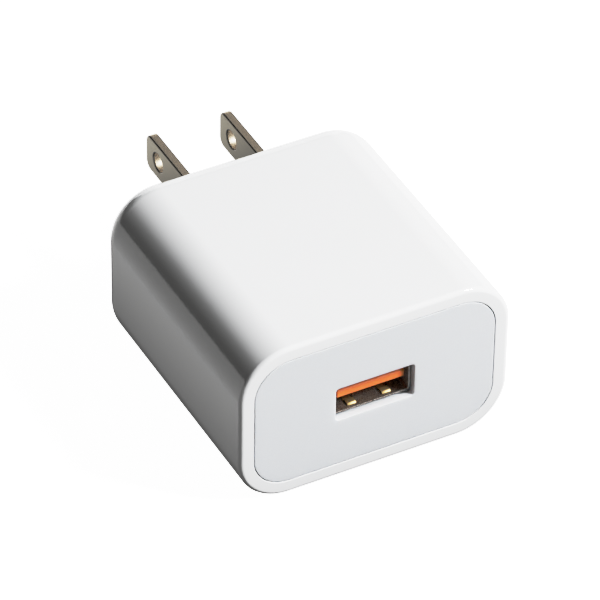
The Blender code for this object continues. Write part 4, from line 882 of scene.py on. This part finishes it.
# %% Tongue
TONGUE_WIDTH = 11.1 * MM
TONGUE_THICKNESS = 1.84 * MM
TONGUE_DROP = 0.1 * MM  # of its underside, below the middle of the port
TONGUE_CHAMFER = 0.7 * MM
TONGUE_UNDER_EDGE = 0.2 * MM
TONGUE_EDGE = 0.06 * MM
REAR_LENGTH = 4.8 * MM
GROOVE_DEPTH = 0.9 * MM
TAIL_GROOVE_DEPTH = 0.8 * MM
tongue_bottom = middle - TONGUE_DROP
tongue_top = tongue_bottom + TONGUE_THICKNESS
block_front = tongue_high.y - REAR_LENGTH
tongue = add_block(
    "tongue_moulding",
    (-TONGUE_WIDTH / 2, tongue_low.y, tongue_bottom), (TONGUE_WIDTH / 2, block_front + MM, tongue_top))
for height, size, segments in ((tongue_top, TONGUE_CHAMFER, 1), (tongue_bottom, TONGUE_UNDER_EDGE, 3)):
    round_edges(tongue, lambda e: lies_at(e, "Y", tongue_low.y) and lies_at(e, "Z", height), size, segments)
rear = add_block(
    "rear_block", (tongue_low.x, block_front, tongue_low.z), (tongue_high.x, tongue_high.y, tongue_high.z))
use_tool(tongue, rear, "UNION")
for i in CONTACTS:
    contact_low, contact_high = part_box(f"usb_contact_{i}")
    tail_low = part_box(f"usb_tail_{i}")[0]
    x_low, x_high = contact_low.x - SPRING_GAP, contact_high.x + SPRING_GAP
    groove = add_block(
        "groove",
        (x_low, contact_low.y - GAP, tongue_bottom - MM),
        (x_high, contact_high.y + GAP, tongue_bottom + GROOVE_DEPTH))
    use_tool(tongue, groove, "DIFFERENCE")
    groove = add_block(
        "tail_groove",
        (x_low, tail_low.y - GAP, tongue_bottom - GAP),
        (x_high, tongue_high.y + MM, tongue_bottom + TAIL_GROOVE_DEPTH))
    use_tool(tongue, groove, "DIFFERENCE")
round_edges(
    tongue, lambda e: lies_at(e, "Y", tongue_low.y) and is_sharp(e, least=radians(20)),
    TONGUE_EDGE, segments=2)
finish_piece(tongue, "charger", orange_plastic, ["usb_tongue"])

# %% [markdown]
# ## Springs in the port
# Two latches in the shell's floor grip the plug, and four sprung contacts lie under the tongue. All of them
# are strips of sheet metal with a bow in them. A bent block would do for one, but one way of working serves
# all six: a flat plane is cut into short lengths, and its cross lines are lifted to a smooth curve before the
# sheet gets its thickness.

# %% Strips with a bow
STRIP_CUTS = 47
STRIP_EDGE = 0.2  # of the sheet's thickness


def make_strip(name, low, high, thickness, height):
    """A sprung strip that fills a CAD spring's length and width.

    Its lower face lies at height(share), where share runs from 0 at the tip to 1 at the root.
    """
    bpy.ops.object.select_all(action="DESELECT")
    bpy.ops.mesh.primitive_plane_add(size=1, location=(low + high) / 2)
    strip = bpy.context.object
    strip.name = name
    strip.scale = (high.x - low.x, high.y - low.y, 1)
    bpy.ops.object.transform_apply(location=True, rotation=True, scale=True)
    work_on(strip, "EDGE")
    pick(strip, "EDGE", lambda e: runs_along(e, "Y"))
    bpy.ops.mesh.subdivide(number_cuts=STRIP_CUTS)
    bpy.ops.object.mode_set(mode="OBJECT")
    for vertex in strip.data.vertices:
        vertex.co.z = height((vertex.co.y - low.y) / (high.y - low.y))
    select_only(strip)
    sheet = strip.modifiers.new("sheet", "SOLIDIFY")
    sheet.thickness = thickness
    sheet.offset = 1
    bpy.ops.object.modifier_apply(modifier=sheet.name)
    round_edges(strip, lambda e: is_sharp(e, least=radians(60)), thickness * STRIP_EDGE, segments=2)
    return strip


def hump(share, middle_share, width):
    """A smooth hump of height 1 round middle_share."""
    distance = abs(share - middle_share) / width
    return (1 + cos(pi * distance)) / 2 if distance < 1 else 0.0


print("the same hump at five places:", [round(hump(share / 4, 0.5, 0.5), 2) for share in range(5)])

# %% [markdown]
# ## Latches and contacts
# A latch rises to a short flat crest near its tip, because a hump that is higher than the crest gets its top
# cut off. A contact dips to its lowest point near its tip and rises slowly to its root, as the real beam
# does, so its hump is wider behind that point than in front of it.

# %% Latches and contacts
LATCH_CREST = 0.11
LATCH_HUMP = 0.16
CREST_CUT = 1.6
CONTACT_POINT = 0.17
CONTACT_IN_FRONT, CONTACT_BEHIND = 0.22, 0.62
CONTACT_THICKNESS = 0.25 * MM

for name in ("left", "right"):
    low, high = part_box(f"usb_latch_{name}")
    floor = tube_low.z
    rise = high.z - SHEET - floor
    latch = make_strip(
        f"port_latch_{name}", low, high, SHEET,
        lambda share: floor + rise * min(1.0, CREST_CUT * hump(share, LATCH_CREST, LATCH_HUMP)))
    finish_piece(latch, "usb_latches", pale_gold, [f"usb_latch_{name}"])


def contact_dip(share):
    """How far a contact has dipped at this share of its length, from 0 to 1."""
    return hump(share, CONTACT_POINT, CONTACT_BEHIND if share > CONTACT_POINT else CONTACT_IN_FRONT)


for i in CONTACTS:
    low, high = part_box(f"usb_contact_{i}")
    rest_z = high.z - CONTACT_THICKNESS
    contact = make_strip(
        f"port_contact_{i}", low, high, CONTACT_THICKNESS,
        lambda share: rest_z + (low.z - rest_z) * contact_dip(share))
    finish_piece(contact, "usb_contacts", gold, [f"usb_contact_{i}"])

# %% [markdown]
# ## Floor
# A studio floor has two jobs, and one sheet can't do both here. So there are two, a hair apart. The ground
# that the camera sees is lit from below, as on a light table, so that its shadows stay faint. The sheet that
# the gloss of the case reflects takes no lamp light: its glow is painted floor light, and the charger's
# shadow is painted into that glow. Neither sends light up, which keeps the left side in shade.

# %% Floor
SHEET_RADIUS = 2.5
WHITE = colour("#FFFFFF")


def add_sheet(name, height, shade, glow):
    """A wide round sheet of acrylic. shade is its own colour, and glow is the light that it gives."""
    bpy.ops.object.select_all(action="DESELECT")
    bpy.ops.mesh.primitive_circle_add(
        vertices=96, radius=SHEET_RADIUS, fill_type="NGON", location=(0, 0, height))
    sheet = bpy.context.object
    sheet.name = name
    dress(sheet, new_material(
        f"opal_acrylic_{name}", Roughness=0.9, Specular_IOR_Level=0.0, Base_Color=colour(shade),
        Emission_Color=WHITE, Emission_Strength=glow))
    sheet.visible_diffuse = False
    sheet.visible_shadow = False
    return sheet


ground = add_sheet("ground", height=-0.03 * MM, shade="#7C7C7C", glow=2.72)
ground.visible_glossy = False
# this sheet's glow is painted floor light, and a painted shadow of the charger is linked into it below
reflected = add_sheet("reflected_sheet", height=-0.02 * MM, shade="#000000", glow=1.0)
reflected.visible_camera = False
print("floor:", ground.name, reflected.name)

# %% [markdown]
# ## Painted shadow on the reflected sheet
# Next to the charger the floor lies in its shade, and farther out it is bright. A shadow from the lamps would
# have a hard edge in the reflection, so the sheet's glow is worked out instead from how far each point lies
# outside the charger's footprint: dark beside it, and brighter in soft steps beyond.

# %% The charger's shadow, painted into the glow of the reflected sheet
NEAR_GLOW = 0.20
FAR_GLOW = 2.20
SHADE_REACH = 8 * MM  # the sheet brightens towards FAR_GLOW over a few of these
BACKWARD = 12 * MM  # the light comes from the front, so the shade falls this much behind the middle
footprint = Vector((case_high.x, (back - front) / 2 + BACKWARD, MM))
shade_middle = Vector((0, (front + back) / 2 + BACKWARD, 0))
tree = reflected.data.materials[0].node_tree
point = add_node(tree, "ShaderNodeTexCoord").outputs["Object"]
STEPS_OUTSIDE = (  # from a point to how far it lies outside the footprint, along X and along Y
    ("SUBTRACT", {1: shade_middle}),
    ("ABSOLUTE", {}),
    ("SUBTRACT", {1: footprint}),
    ("MAXIMUM", {1: Vector()}),
)
for operation, other in STEPS_OUTSIDE:
    step = add_node(tree, "ShaderNodeVectorMath", {0: point, **other}, operation=operation)
    point = step.outputs["Vector"]
distance = add_node(tree, "ShaderNodeVectorMath", {0: point}, operation="LENGTH").outputs["Value"]
reaches = add_node(
    tree, "ShaderNodeMath", {0: distance, 1: -1 / SHADE_REACH}, operation="MULTIPLY").outputs["Value"]
painted_shadow = add_node(tree, "ShaderNodeMath", {0: reaches}, operation="EXPONENT").outputs["Value"]
# painted shadow: the glow runs from NEAR_GLOW beside the footprint to FAR_GLOW far from it
glow = add_node(
    tree, "ShaderNodeMapRange", {"Value": painted_shadow, "To Min": FAR_GLOW, "To Max": NEAR_GLOW}).outputs["Result"]
tree.links.new(glow, tree.nodes["Principled BSDF"].inputs["Emission Strength"])
print("shade on", reflected.name, "from", NEAR_GLOW, "to", FAR_GLOW)
